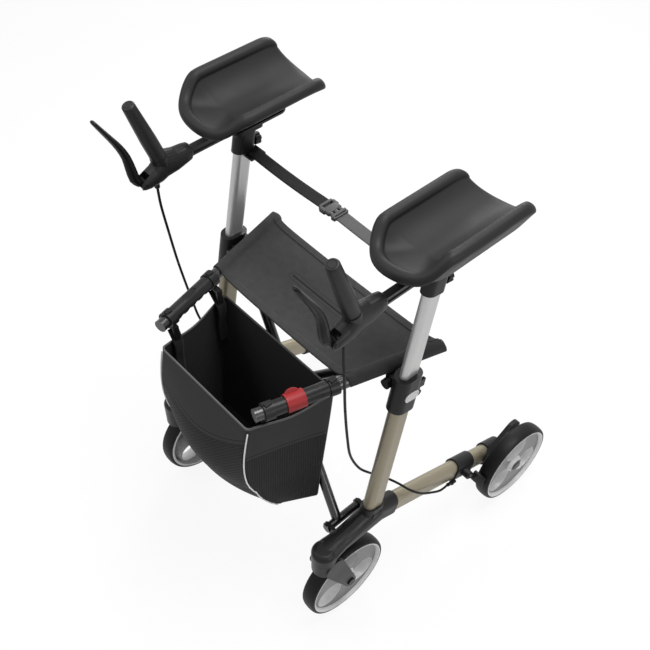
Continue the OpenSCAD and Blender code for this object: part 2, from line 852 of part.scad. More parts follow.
// Forearm bracket: cup on the inner tube, block round the rail and plate under the trough
module arm_bracket_shape() {
    block_h = rail_d + 2 * block_wall;
    top = rail_h + block_h / 2;
    cup_w = inner_w + 2 * cup_wall;
    cup_d = inner_d + 2 * cup_wall;
    color([0.16, 0.16, 0.16]) difference() {
        union() {
            on_upright(cup_s()) oval_bar(cup_w, cup_d, rail_s() - cup_s());
            translate([frame_x, rail_cross_y(), rail_h - block_h / 2]) linear_extrude(block_h)
                round_rect(block_w, block_d, block_r);
            pad_frame() translate([0, plate_y - pad_mid_y(), -pad_t / 2 - plate_t - seat_gap])
                linear_extrude(plate_t) round_rect(plate_w, plate_d, plate_r);
            hull() {
                translate([frame_x, rail_cross_y(), top - over]) linear_extrude(over)
                    square([block_w - 2 * block_r, block_d - 2 * block_r], center = true);
                pad_frame() translate([0, plate_y - pad_mid_y(), -pad_t / 2 - plate_t - seat_gap])
                    linear_extrude(plate_t / 2) square([plate_w / 2, plate_d / 2], center = true);
            }
            translate([frame_x - cup_w / 2 - eye_len, belt_y() - eye_w / 2, belt_h - seat_gap - eye_t])
                cube([cup_w / 2 + eye_len, eye_w, eye_t]);
        }
        on_upright(cup_s() - eye_len) oval_bar(
            inner_w + 2 * seat_gap, inner_d + 2 * seat_gap, cup_len + eye_len);
        translate([frame_x - rail_w / 2 - slide_gap, plate_y - plate_d, rail_h - rail_d / 2 - slide_gap])
            cube([rail_w + 2 * slide_gap, 2 * plate_d, rail_d + 2 * slide_gap]);
        on_upright(cup_s() + knob_at) along_y() cylinder(d = knob_shank_d + 2 * run_gap, h = cup_d);
    }
}

// Place of the belt along the walker, where the cup carries its eye
function belt_y() = knee_y + (belt_h - knee_h) * tan(upright_lean) + belt_back;

// Lobed clamp knob behind the forearm bracket's cup
module arm_knob_shape() {
    foot = inner_d / 2 + seat_gap;
    color([0.15, 0.15, 0.15]) on_upright(cup_s() + knob_at) along_y() {
        translate([0, 0, foot]) cylinder(d = knob_shank_d, h = cup_wall + knob_t / 2);
        translate([0, 0, foot + cup_wall]) difference() {
            cylinder(d = knob_d, h = knob_t);
            for (k = [0 : knob_lobes - 1]) rotate([0, 0, 360 * k / knob_lobes])
                translate([knob_d / 2 + knob_lobe_d / 4, 0, -over])
                    cylinder(d = knob_lobe_d, h = knob_t + 2 * over);
        }
    }
}

module rail_shape() {
    groove = rail_w / 4;
    color([0.16, 0.16, 0.16]) difference() {
        translate([frame_x - rail_w / 2, rail_front_y, rail_h - rail_d / 2]) cube([rail_w, rail_len, rail_d]);
        for (s = [-1, 1]) translate([frame_x + s * rail_w / 2, rail_front_y - over, rail_h - groove])
            translate([-groove / 2, 0, 0]) cube([groove, rail_len + 2 * over, 2 * groove]);
    }
}

function pad_mid_y() = pad_front_y + pad_len / 2;

// Places a child in the forearm trough's own frame, at its middle and its floor
module pad_frame() {
    translate([frame_x + pad_shift, pad_mid_y(), rail_h + rail_d / 2 + pad_floor_gap + pad_t / 2])
        rotate([0, -pad_tilt, 0]) children();
}

// Height of the trough's middle surface at a share across and a share along, front to rear
function pad_lift(across, along) =
    let (
        dip = mix(pad_dip_share, 1, smooth((along - pad_dip_from_share) / pad_dip_run_share)),
        past = clamp01((along - 1 + pad_horn_share) / pad_horn_share),
        horn = 1 - pad_horn_drop_share * (1 - sqrt(1 - past * past)))
    pad_rim_h * dip * horn * pow(abs(across), pad_dish_power)
    + pad_lip_h * (1 - smooth(along / pad_lip_share));

// Half width of the trough at a share along, round at its nose
function pad_half(along) =
    let (
        past = max(0, 1 - along / pad_nose_share) * (1 - pad_tail_share / 2),
        tail = 1 - pad_tail_share * smooth((along - 1 + pad_lip_share) / pad_lip_share))
    pad_crest_w / 2 * tail * pow(1 - pow(past, pad_nose_power), 1 / pad_nose_power);

// One cross ring of the trough, from the middle of its left rim over the dish and back underneath
function pad_ring(along) =
    let (
        b = pad_half(along),
        y = pad_len * (along - 1 / 2),
        end = max(0, 1 - (1 - abs(2 * along - 1)) / pad_end_share),
        r = pad_t / 2 * sqrt(max(1 - end * end, pad_tail_share)),
        crest = pad_lift(1, along),
        floor_z = pad_lift(0, along) - r,
        at = function (u) [b * u, y, pad_lift(u, along)],
        off = function (u)
            let (d = at(u + pad_tail_share) - at(u - pad_tail_share)) unit([-d.z, 0, d.x]) * r,
        lean = atan2(off(1).z, off(1).x),
        roll = function (s, k)
            let (a = lean * (1 - k / (pad_edge + 1))) at(s) + [s * cos(a), 0, sin(a)] * r,
        under = function (u)
            let (power = u > 0 ? pad_wall_power : pad_inner_power)
            [(b + r) * u, y, mix(floor_z, crest, pow(abs(u), power))],
        half = ceil(pad_edge / 2))
    concat(
        [for (k = [half : -1 : 1]) roll(1, k)],
        [for (i = [0 : pad_across]) let (u = 1 - 2 * i / pad_across) at(u) + off(u)],
        [for (k = [1 : pad_edge]) roll(-1, k)],
        [for (i = [0 : pad_across]) under(2 * i / pad_across - 1)],
        [for (k = [pad_edge : -1 : half + 1]) roll(1, k)]);

// Share along the trough of one of its rings, closer together at both ends
function pad_share(i) = i / pad_rings - pad_crowd_share * sin(360 * i / pad_rings);

// Forearm trough of moulded foam, open at the rear and dipping at the front
module forearm_pad_shape() {
    color([0.2, 0.2, 0.2]) pad_frame()
        loft([for (i = [pad_rings : -1 : 0]) pad_ring(pad_share(i))]);
}

// Places a child along the grip's axis
module grip_place(s) {
    translate([frame_x, grip_foot_y, grip_foot_h]) rotate([grip_lean, 0, 0]) translate([0, 0, s])
        children();
}

// Hand-grip housing: socket over the rail, neck of the grip and yoke of the lever, with its pin
module grip_housing_shape() {
    color([0.17, 0.17, 0.17]) difference() {
        union() {
            loft([for (q = house_shares) section_ring(
                house_rear_y - q[0] * house_len, rail_h - q[1] * house_h,
                q[3] * house_w, q[2] * house_h, arm_power, 0)]);
            grip_place(-neck_len) cylinder(d = grip_d + 2 * neck_wall, h = neck_len);
            rod(cable_route[0] - [0, 0, cable_d],
                [frame_x - guide_in, grip_foot_y - guide_ahead, rail_h - guide_seat], guide_d);
        }
        translate([frame_x - rail_w / 2 - seat_gap, rail_front_y - seat_gap, rail_h - rail_d / 2 - seat_gap])
            cube([rail_w + 2 * seat_gap, rail_len, rail_d + 2 * seat_gap]);
        grip_place(0) cylinder(d = grip_d + 2 * seat_gap, h = grip_len);
        translate([frame_x - lever_w / 2 - lever_side_gap, lever_pin_y - house_len, house_foot_h()])
            cube([lever_w + 2 * lever_side_gap, house_len + lever_hub_d / 2 + lever_pin_d / 2, 2 * house_h]);
        translate([frame_x - house_w, lever_pin_y, lever_pin_h]) along_x()
            cylinder(d = lever_pin_d + 2 * run_gap, h = 2 * house_w);
        translate([cable_route[0].x, cable_route[0].y, cable_route[0].z - 2 * cable_d])
            cylinder(d = cable_d + 2 * slide_gap, h = 2 * cable_d + slide_gap);
    }
    color([0.6, 0.6, 0.6]) translate([frame_x - lever_pin_l() / 2, lever_pin_y, lever_pin_h]) along_x()
        cylinder(d = lever_pin_d, h = lever_pin_l());
}

// Foot of the room for the lever, below the whole housing, and the length of the lever's pin
function house_foot_h() = rail_h - house_h;
function lever_pin_l() = house_w * lever_pin_share;

// Hand grip: tapered sleeve with a seam round its rounded end cap
module grip_shape() {
    foot = grip_d / 2;
    top = grip_top_d / 2;
    round_r = top / 3;
    color([0.18, 0.18, 0.18]) grip_place(seat_gap) rotate_extrude() {
        polygon([
            [0, 0], [foot, 0], [foot, grip_len / 3], [top, grip_len - round_r],
            [top - round_r, grip_len - round_r], [top - round_r, grip_len],
            [top - round_r - cap_seam, grip_len - cap_seam], [top - round_r - 2 * cap_seam, grip_len],
            [0, grip_len]]);
        translate([top - round_r, grip_len - round_r]) intersection() {
            circle(r = round_r);
            square(round_r);
        }
    }
}

// Brake lever: an S-curved blade that thins towards its tip, on a round hub
module brake_lever_shape() {
    spine = refined([for (q = lever_shares) [
        lever_pin_y - q[0] * lever_reach, lever_pin_h + q[1] * lever_rise, q[2] * lever_t, q[3]]],
        lever_steps);
    last = len(spine) - 1;
    color([0.18, 0.18, 0.18]) difference() {
        union() {
            loft([for (i = [0 : last])
                let (
                    d = spine[min(i + 1, last)] - spine[max(i - 1, 0)],
                    t = unit([0, d.x, d.y]),
                    k = i == last ? lever_tip_share : 1,
                    n = [0, t.z, -t.y] * spine[i].z / 2 * k)
                [for (a = [0 : lever_sides - 1]) [frame_x, spine[i].x, spine[i].y]
                    + [(lever_w / 2 - lever_side_gap) * spine[i][3] * k, 0, 0] * cos(360 * a / lever_sides)
                    + n * sin(360 * a / lever_sides)]]);
            translate([frame_x - lever_w / 2, lever_pin_y, lever_pin_h]) along_x()
                cylinder(d = lever_hub_d, h = lever_w);
        }
        translate([frame_x - lever_w, lever_pin_y, lever_pin_h]) along_x()
            cylinder(d = lever_pin_d + 2 * run_gap, h = 2 * lever_w);
    }
}

module brake_cable_shape() {
    color([0.1, 0.1, 0.1]) swept_tube(refined(cable_route, cable_steps), cable_d, cable_sides);
}

// Caster fork: crown, swivel stem, two tapered legs and the axle bolt
module caster_fork_shape() {
    bolt_l = 2 * (leg_x + fork_t + seat_gap);
    color([0.22, 0.22, 0.22]) difference() {
        union() {
            translate([frame_x, swivel_y, crown_z]) cylinder(d = stem_d, h = crown_t + stem_len);
            translate([frame_x, swivel_y, crown_z]) cylinder(d = crown_d, h = crown_t);
            for (s = [-1, 1]) fork_leg(frame_x + s * (leg_x + fork_t / 2));
        }
        translate([frame_x - leg_x, front_y, axle_h]) along_x()
            cylinder(d = wheel_d + 2 * wheel_room, h = 2 * leg_x, $fn = 96);
        translate([frame_x - bolt_l, front_y, axle_h]) along_x()
            cylinder(d = axle_d + 2 * run_gap, h = 2 * bolt_l);
    }
    color([0.5, 0.5, 0.5]) translate([frame_x, front_y, axle_h]) {
        translate([-bolt_l / 2, 0, 0]) along_x() cylinder(d = axle_d, h = bolt_l);
        for (s = [-1, 1]) translate([s * (bolt_l + axle_head_t) / 2 - axle_head_t / 2, 0, 0])
            along_x() cylinder(d = axle_head_d, h = axle_head_t);
    }
}

module fork_leg(x) {
    hull() {
        translate([x - fork_t / 2, front_y, axle_h]) along_x()
            cylinder(d = leg_foot_d, h = fork_t, $fn = hull_fn);
        translate([x - fork_t / 2, swivel_y + leg_top_back, crown_z + crown_t - leg_top_d / 2]) along_x()
            cylinder(d = leg_top_d, h = fork_t, $fn = hull_fn);
    }
}

// Brake collar on the base tube, with the shoe's boss and the cable's adjuster
module brake_collar_shape() {
    p = brake_pivot();
    color([0.18, 0.18, 0.18]) difference() {
        union() {
            on_base(brake_at) oval_bar(base_w + 2 * brake_wall, base_d + 2 * brake_wall, brake_len);
            translate([frame_x + base_w / 2, p.y, p.z]) along_x()
                cylinder(d = brake_boss_d, h = brake_wall + brake_boss_l);
        }
        on_base(brake_at - over) oval_bar(base_w + 2 * seat_gap, base_d + 2 * seat_gap, brake_len + 2 * over);
        translate([p.x, p.y, p.z]) along_x()
            cylinder(d = brake_pin_d + 2 * run_gap, h = brake_boss_l + over);
    }
    color([0.7, 0.7, 0.7]) {
        rod(adjuster_at(seat_gap), adjuster_foot(), adjuster_d);
        rod(adjuster_at(adjuster_l() / 2), adjuster_at(adjuster_l() / 2 + adjuster_nut_t), adjuster_nut_d);
    }
}

// Place of the adjuster in the brake collar, and its length and points from the cable's end on
function adjuster_foot() = brake_pivot() + [adjuster_out, -adjuster_ahead, -adjuster_low];
function cable_end() = cable_route[len(cable_route) - 1];
function adjuster_l() = norm(adjuster_foot() - cable_end());
function adjuster_at(s) = cable_end() + unit(adjuster_foot() - cable_end()) * s;

// Pin point of the brake shoe on the outer side of the brake collar
function brake_pivot() = let (s = brake_at + brake_len / 2)
    [frame_x + base_w / 2 + brake_wall, knee_y + s * cos(base_drop), knee_h - s * sin(base_drop)];

module brake_pin() {
    p = brake_pivot();
    translate([p.x + seat_gap, p.y, p.z]) along_x()
        cylinder(d = brake_pin_d, h = brake_boss_l + slide_gap + shoe_arm_t);
    translate([p.x + brake_boss_l + 2 * slide_gap + shoe_arm_t, p.y, p.z]) along_x()
        cylinder(d = brake_pin_d + axle_head_t, h = axle_head_t);
}

// Brake shoe in front of the rear tyre, on its swinging arm
module brake_shoe_shape() {
    p = brake_pivot();
    x0 = p.x + brake_boss_l + slide_gap;
    r = wheel_d / 2 + shoe_gap;
    q = [rear_y - (r + shoe_t / 2) * cos(shoe_angle), axle_h + (r + shoe_t / 2) * sin(shoe_angle)];
    color([0.14, 0.14, 0.14]) difference() {
        union() {
            translate([x0, p.y, p.z]) along_x() cylinder(d = brake_boss_d, h = shoe_arm_t);
            hull() {
                translate([x0, p.y, p.z]) along_x() cylinder(d = shoe_arm_w, h = shoe_arm_t, $fn = hull_fn);
                translate([x0, q.x, q.y]) along_x() cylinder(d = shoe_t, h = shoe_arm_t, $fn = hull_fn);
            }
            translate([x0, rear_y, axle_h]) along_x() rotate([0, 0, 270 - shoe_angle])
                shoe_pad(r, rear_x + tyre_w / 4 - x0);
        }
        translate([x0 - over, p.y, p.z]) along_x()
            cylinder(d = brake_pin_d + 2 * run_gap, h = shoe_arm_t + 2 * over);
        translate([x0 - over, rear_y, axle_h]) along_x() cylinder(r = r, h = 2 * tyre_w, $fn = 96);
    }
}

// Curved block of the brake shoe, round the wheel's axis
module shoe_pad(r, h) {
    intersection() {
        cylinder(r = r + shoe_t, h = h, $fn = 96);
        translate([r - shoe_t, -shoe_len / 2, 0]) cube([3 * shoe_t, shoe_len, h]);
    }
}

// Points where a brace starts on its pivot, ends in its seat tube and crosses the other brace
function brace_foot(step) = [-pivot_x, brace_foot_y + step, pivot_h];
function brace_top(step) = tube_at(brace_top_y) + [0, step, 0];
function brace_mid(step) =
    mix(brace_foot(step), brace_top(step), pivot_x / (pivot_x + tube_at(brace_top_y).x));

// Seat tube and cross brace of one side, welded to the pivot sleeve of the other side
module seat_frame_shape(step) {
    foot = brace_foot(step);
    top = brace_top(step);
    mid = brace_mid(step);
    color([0.14, 0.14, 0.14]) difference() {
        union() {
            rod(tube_at(tube_front_y), tube_at(tube_rear_y), seat_tube_d);
            rod(foot, top - unit(top - foot) * seat_tube_d / 4, brace_d);
            right() pivot_bar(pivot_d + 2 * sleeve_wall, 0);
            translate([0, mid.y - brace_step / 2 + slide_gap, mid.z]) along_y()
                cylinder(d = cross_head_d, h = brace_step - 2 * slide_gap);
        }
        rod(tube_at(tube_front_y - over), tube_at(tube_rear_y + over), seat_tube_d - 2 * brace_wall);
        rod(foot + unit(top - foot) * (pivot_d + brace_d),
            top - unit(top - foot) * (seat_tube_d + brace_d) / 2, brace_d - 2 * brace_wall);
        right() pivot_bar(pivot_d + 2 * run_gap, over);
        translate([0, mid.y - brace_step, mid.z]) along_y()
            cylinder(d = cross_bolt_d + 2 * run_gap, h = 2 * brace_step);
    }
    color([0.1, 0.1, 0.1]) {
        tube_end_cap(tube_front_y, -1);
        tube_end_cap(tube_rear_y, 1);
    }
}

module tube_end_cap(y, s) {
    a = tube_at(y);
    u = unit(tube_at(tube_rear_y) - tube_at(tube_front_y)) * s;
    rod(a + u * seat_gap, a + u * tube_cap_t, seat_tube_d + 2 * seat_gap);
}

// Half width inside the bag's rim at a place along the walker
function bag_inner_half(y) = mix(bag_front_half, bag_back_half,
    (y - bag_front_y - bag_t) / (bag_back_y - bag_front_y - 2 * bag_t)) - bag_t;

// Hooks that hang the bag on one seat tube
module bag_clips_shape() {
    color([0.13, 0.13, 0.13]) for (y = [grip_front_y - clip_len, grip_rear_y]) difference() {
        union() {
            rod(tube_at(y + seat_gap), tube_at(y + clip_len - seat_gap), clip_d);
            bag_hook(tube_at(y + clip_len / 2), clip_len * 2 / 3);
            translate(tube_at(y + clip_len / 2) + [0, 0, (clip_d + clip_latch_t - clip_wall) / 2])
                cube([clip_latch_w, clip_len * 2 / 3, clip_latch_t], center = true);
        }
        rod(tube_at(y - over), tube_at(y + clip_len + over), seat_tube_d + 2 * seat_gap);
    }
}

// Plate down the inner side of the bag's wall, on an arm from the clip's ring
module bag_hook(c, w) {
    widening = (bag_back_half - bag_front_half) / (bag_back_y - bag_front_y);
    x = bag_inner_half(c.y - w / 2) - widening * bag_corner_r - slide_gap - clip_hook_t;
    low = c.z - clip_d / 2 + clip_wall / 2;
    translate([x, c.y - w / 2, c.z - clip_hook_drop])
        cube([clip_hook_t, w, clip_hook_drop - clip_d / 2 + clip_wall]);
    translate([x, c.y - w / 2, low]) cube([c.x - x, w, clip_wall]);
}

// Moulded sleeve on the front of a seat tube, with finger grooves where it is a carry handle
module tube_grip_shape(fingers) {
    pitch = (grip_rear_y - grip_front_y) / (finger_count + 1);
    color([0.17, 0.17, 0.17]) difference() {
        rod(tube_at(grip_front_y + seat_gap), tube_at(grip_rear_y - seat_gap), tube_grip_d);
        rod(tube_at(grip_front_y - over), tube_at(grip_rear_y + over), seat_tube_d + 2 * seat_gap);
        if (fingers) {
            for (k = [1 : finger_count]) translate(tube_at(grip_front_y + k * pitch))
                rotate([0, finger_turn, 0])
                    translate([-tube_grip_d, 0, -(tube_grip_d + finger_d) / 2 + finger_bite])
                        along_x() cylinder(d = finger_d, h = 2 * tube_grip_d);
            translate(tube_at((grip_front_y + grip_rear_y) / 2)) rotate([0, 0, tube_turn()])
                translate([0, 0, tube_grip_d / 2 - pocket_deep]) oval_bar(pocket_w, pocket_l, tube_grip_d);
        }
    }
}

// Red half-round lock tab that turns on the left tube grip
module lock_tab_shape() {
    a = tube_at(tab_at_y - tab_len / 2);
    b = tube_at(tab_at_y + tab_len / 2);
    color([0.67, 0.25, 0.25]) difference() {
        union() {
            rod(a, b, tab_d);
            translate((a + b) / 2) rotate([0, -tab_flap_angle, 0]) translate([0, 0, tab_flap_out])
                rotate([0, 0, tube_turn()]) along_x() translate([0, 0, -tab_flap_t / 2])
                    cylinder(d = tab_len, h = tab_flap_t);
        }
        rod(tube_at(tab_at_y - tab_len), tube_at(tab_at_y + tab_len), tube_grip_d + 2 * slide_gap);
        translate(a - [tab_d, tab_len, tab_d + tube_grip_d / 4]) cube([2 * tab_d, 3 * tab_len, tab_d]);
    }
}

// Angle of the seat tube's plan against the walker's length
function tube_turn() = -atan2(tube_rear_x - tube_front_x, tube_rear_y - tube_front_y);

// Bolt through both braces where they cross
module cross_bolt_shape() {
    mid = brace_mid(0);
    half = brace_step + slide_gap;
    color([0.55, 0.55, 0.55]) translate([0, mid.y, mid.z]) along_y() {
        translate([0, 0, -half]) cylinder(d = cross_bolt_d, h = 2 * half);
        for (z = [-half - cross_head_t, half]) translate([0, 0, z])
            cylinder(d = cross_head_d, h = cross_head_t);
    }
}

// Radius of the seat's middle line round a tube, which clears the tube's slanting section between points
function seat_r() =
    let (slant = norm(tube_at(tube_rear_y) - tube_at(tube_front_y)) / (tube_rear_y - tube_front_y))
    (seat_tube_d / 2 * slant + slide_gap) / cos((seat_wrap_to - seat_wrap_from) / seat_arc / 2) + seat_t / 2;

// Half of the seat's middle line at a place along the walker, from the outer side of the left tube
function seat_half(y) =
    let (c = tube_at(y), r = seat_r())
    concat(
        [for (k = [0 : seat_arc])
            let (a = mix(seat_wrap_from, seat_wrap_to, k / seat_arc)) [c.x + r * cos(a), c.z + r * sin(a)]],
        [for (k = [1 : seat_spans])
            let (u = 1 - k / (seat_spans + 1))
            [(c.x - r - seat_t) * u, c.z - seat_sag * (1 - u * u)]]);

// Cross ring of the seat: the upper side of its middle line, then the lower side back
function seat_ring(y) =
    let (
        half = seat_half(y),
        n = len(half),
        line = concat(half, [for (k = [n - 1 : -1 : 0]) [-half[k].x, half[k].y]]),
        last = len(line) - 1,
        side = [for (k = [0 : last])
            let (d = unit(line[min(k + 1, last)] - line[max(k - 1, 0)])) [-d.y, d.x] * seat_t / 2])
    concat(
        [for (k = [0 : last]) [line[k].x - side[k].x, y, line[k].y - side[k].y]],
        [for (k = [last : -1 : 0]) [line[k].x + side[k].x, y, line[k].y + side[k].y]]);

module seat_shape() {
    color([0.24, 0.24, 0.24]) loft([for (i = [seat_rows : -1 : 0])
        seat_ring(seat_front_y + seat_depth * i / seat_rows)]);
}

// Place of the bag's front at a share of its depth: it bulges, then runs back under
function bag_front(k) = bag_front_y
    - bag_bulge * sin(180 * clamp01(k / bag_bulge_share))
    + bag_front_lean * pow(clamp01((k - bag_lean_from_share) / (1 - bag_lean_from_share)), bag_lean_power);

// Ring of the bag at a share of its depth, inset by its wall
function bag_ring(k, inset) =
    let (
        r = bag_corner_r,
        f = bag_front_half - bag_taper * smooth(k) - inset,
        b = bag_back_half - bag_taper * smooth(k) - inset,
        yf = bag_front(k) + inset,
        yb = bag_back_y - bag_back_lean * k - inset,
        corner = function (x, y, a0) [for (i = [0 : bag_corner_points - 1])
            let (a = a0 + 90 * i / (bag_corner_points - 1)) [x + r * cos(a), y + r * sin(a)]],
        flank = function (s) [for (u = [1 / 4, 1 / 2, 3 / 4]) [s * mix(f, b, u), mix(yf, yb, u)]],
        belly = bag_belly * smooth(k / bag_belly_share),
        panel = function (x, y, out) [for (i = [1 : bag_panel_points])
            let (u = 1 - 2 * i / (bag_panel_points + 1)) [x * u, y - out * (1 - u * u)]],
        back = flank(-1),
        flat = concat(
            corner(b - r, yb - r, 0), panel(b - r, yb, 0), corner(r - b, yb - r, 90),
            [for (i = [2 : -1 : 0]) back[i]],
            corner(r - f, yf + r, 180), panel(r - f, yf, belly), corner(f - r, yf + r, 270), flank(1)))
    [for (p = flat)
        let (
            t = clamp01((p.y - yf) / (yb - yf)),
            rim = tube_at(p.y).z - bag_rim_drop - bag_scoop * pow(sin(180 * t), 2))
        [p.x, p.y, mix(rim, tube_front_h - bag_rim_drop - bag_drop + inset, k)]];

// Open bag with a bulging front and scooped sides: one skin up the outside and down the inside
module bag_shape() {
    color([0.17, 0.17, 0.17]) loft(concat(
        [for (i = [bag_rows : -1 : 0]) bag_ring(i / bag_rows, 0)],
        [for (i = [0 : bag_rows]) bag_ring(i / bag_rows, bag_t)]));
}

// Belt between the forearm brackets, in two ends
module belt_shape() {
    half = buckle_l / 2 + seat_gap;
    reach = frame_x - inner_w / 2 - cup_wall - seat_gap;
    color([0.25, 0.25, 0.25]) for (s = [-1, 1])
        translate([s > 0 ? buckle_x + half : -reach, belt_y() - belt_w / 2, belt_h])
            cube([reach - half - s * buckle_x, belt_w, belt_t]);
}

// Side-release buckle with a finger notch at each side
module buckle_shape() {
    color([0.12, 0.12, 0.12]) translate([buckle_x, belt_y(), belt_h + (belt_t - buckle_t) / 2])
        linear_extrude(buckle_t) difference() {
            round_rect(buckle_l, buckle_w, buckle_r);
            for (s = [-1, 1]) translate([0, s * buckle_w / 2])
                square([buckle_notch_l, 2 * buckle_notch_w], center = true);
        }
}

front_casting_shape();  // left_front_casting
right() front_casting_shape();  // right_front_casting
upright_shape();  // left_upright
right() upright_shape();  // right_upright
base_tube_shape();  // left_base_tube
right() base_tube_shape();  // right_base_tube
rear_bracket_shape();  // left_rear_bracket
right() rear_bracket_shape();  // right_rear_bracket
frame_bolts_shape();  // left_frame_bolts
right() frame_bolts_shape();  // right_frame_bolts
collar_shape();  // left_collar
right() collar_shape();  // right_collar
clamp_lever_shape();  // left_clamp_lever
right() clamp_lever_shape();  // right_clamp_lever
reflector_shape();  // left_reflector
right() reflector_shape();  // right_reflector
inner_tube_shape();  // left_inner_tube
right() inner_tube_shape();  // right_inner_tube
arm_bracket_shape();  // left_arm_bracket
right() arm_bracket_shape();  // right_arm_bracket
arm_knob_shape();  // left_arm_knob
right() arm_knob_shape();  // right_arm_knob
rail_shape();  // left_rail
right() rail_shape();  // right_rail
forearm_pad_shape();  // left_forearm_pad
right() forearm_pad_shape();  // right_forearm_pad
grip_housing_shape();  // left_grip_housing
right() grip_housing_shape();  // right_grip_housing
grip_shape();  // left_grip
right() grip_shape();  // right_grip
brake_lever_shape();  // left_brake_lever
right() brake_lever_shape();  // right_brake_lever
brake_cable_shape();  // left_brake_cable
right() brake_cable_shape();  // right_brake_cable
caster_fork_shape();  // left_caster_fork
right() caster_fork_shape();  // right_caster_fork
tyre_shape(frame_x, front_y);  // left_front_tyre
right() tyre_shape(frame_x, front_y);  // right_front_tyre
rim_shape(frame_x, front_y);  // left_front_rim
right() rim_shape(frame_x, front_y);  // right_front_rim
tyre_shape(rear_x, rear_y);  // left_rear_tyre
right() tyre_shape(rear_x, rear_y);  // right_rear_tyre
rim_shape(rear_x, rear_y);  // left_rear_rim
right() rim_shape(rear_x, rear_y);  // right_rear_rim
brake_collar_shape();  // left_brake_collar
right() brake_collar_shape();  // right_brake_collar
brake_shoe_shape();  // left_brake_shoe
right() brake_shoe_shape();  // right_brake_shoe
seat_frame_shape(brace_step / 2);  // left_seat_frame
right() seat_frame_shape(-brace_step / 2);  // right_seat_frame
bag_clips_shape();  // left_bag_clips
right() bag_clips_shape();  // right_bag_clips
tube_grip_shape(false);  // left_tube_grip
right() tube_grip_shape(true);  // right_tube_grip
lock_tab_shape();  // lock_tab
cross_bolt_shape();  // cross_bolt
seat_shape();  // seat
bag_shape();  // bag
belt_shape();  // belt
buckle_shape();  // buckle
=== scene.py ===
"""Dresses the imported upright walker: foam troughs, cloth seat, bag, belt, cables, finishes, light and camera.

Metres, +Z up, ground at zero, front towards -Y, the user's left side towards +X.
"""
import json
from types import SimpleNamespace as Named

import bmesh
import bpy
import numpy as np
from mathutils import Euler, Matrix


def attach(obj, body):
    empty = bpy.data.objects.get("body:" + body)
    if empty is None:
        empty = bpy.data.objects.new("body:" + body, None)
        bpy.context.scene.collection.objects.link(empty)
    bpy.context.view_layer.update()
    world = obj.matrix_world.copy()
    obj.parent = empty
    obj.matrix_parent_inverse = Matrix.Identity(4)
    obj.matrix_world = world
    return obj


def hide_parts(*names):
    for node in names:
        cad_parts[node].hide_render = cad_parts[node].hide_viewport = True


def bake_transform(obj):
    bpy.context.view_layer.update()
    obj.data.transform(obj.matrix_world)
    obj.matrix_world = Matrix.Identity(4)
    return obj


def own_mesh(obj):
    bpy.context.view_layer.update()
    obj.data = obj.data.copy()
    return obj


bl_info = {
    "name": "Upright walker dressing",
    "version": (1, 0, 0),
    "blender": (4, 5, 0),
    "location": "View3D > Sidebar > Walker",
    "description": "Builds the soft goods, cables and finishes of a folding upright walker",
    "category": "Object",
}

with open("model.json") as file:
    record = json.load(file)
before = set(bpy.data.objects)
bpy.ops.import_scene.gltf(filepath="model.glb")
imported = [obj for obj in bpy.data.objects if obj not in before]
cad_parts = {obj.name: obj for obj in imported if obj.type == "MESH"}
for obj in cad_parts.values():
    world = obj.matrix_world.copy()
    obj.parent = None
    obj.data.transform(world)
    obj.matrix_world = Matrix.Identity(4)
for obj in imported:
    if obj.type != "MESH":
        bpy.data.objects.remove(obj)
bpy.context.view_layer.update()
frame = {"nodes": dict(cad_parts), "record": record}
NODES = frame["nodes"]
SLOT_OF = {s["node"]: s["material_slot"] for s in frame["record"]["subparts"]}
SIDES = (("left", 1.0), ("right", -1.0))

# Route of the left brake cable, from the hand grip to the brake, as in the part's source
CABLE_ROUTE = np.array([
    (242, -222, 846), (242, -221, 800), (240, -216, 740), (235, -208, 650),
    (229, -195, 550), (226, -183, 480), (222, -156, 410), (219, -126, 360),
    (220, -101, 327), (230, -82, 306), (248, -68, 294), (266, -48, 268),
    (273, -21, 236), (273, 14, 202), (271, 46, 174), (266, 76, 158),
], float) / 1000
# Points of the route at its cut, and from there to the end of its bend
CABLE_CUT, CABLE_BEND = 3, 5
CABLE_STEPS, CABLE_SIDES = 14, 14

# Axis of the left seat tube: front end and rear end
TUBE_FRONT = np.array((0.136, -0.320, 0.637))
TUBE_REAR = np.array((0.231, 0.030, 0.625))
TUBE_R = 0.012

# Axles of the front and the rear wheels
AXLE_Y = (-0.213, 0.261)
BETWEEN_AXLES_Y = 0.05
AXLE_Z = 0.1


def size(name, words, value):
    """Length property with its name, description and default in metres."""
    return bpy.props.FloatProperty(name=name, description=words, default=value, unit="LENGTH")


class WalkerSizes(bpy.types.PropertyGroup):
    """Sizes of the soft goods that a user may change"""

    cable: size("Cable", "Diameter of the brake cables", 0.005)
    seat_cloth: size("Seat cloth", "Thickness of the seat's cloth", 0.0018)
    belt_width: size("Belt width", "Width of the webbing", 0.026)
    piping: size("Piping", "Diameter of the bag's piping", 0.0028)
    weave: size("Weave", "Pitch of the seat's weave", 0.0016)


def colour(name, words, *value):
    """Colour property with its name, description and linear default; one number is a grey."""
    return bpy.props.FloatVectorProperty(
        name=name, description=words, default=value * (3 // len(value)), size=3, subtype="COLOR", min=0, max=1)


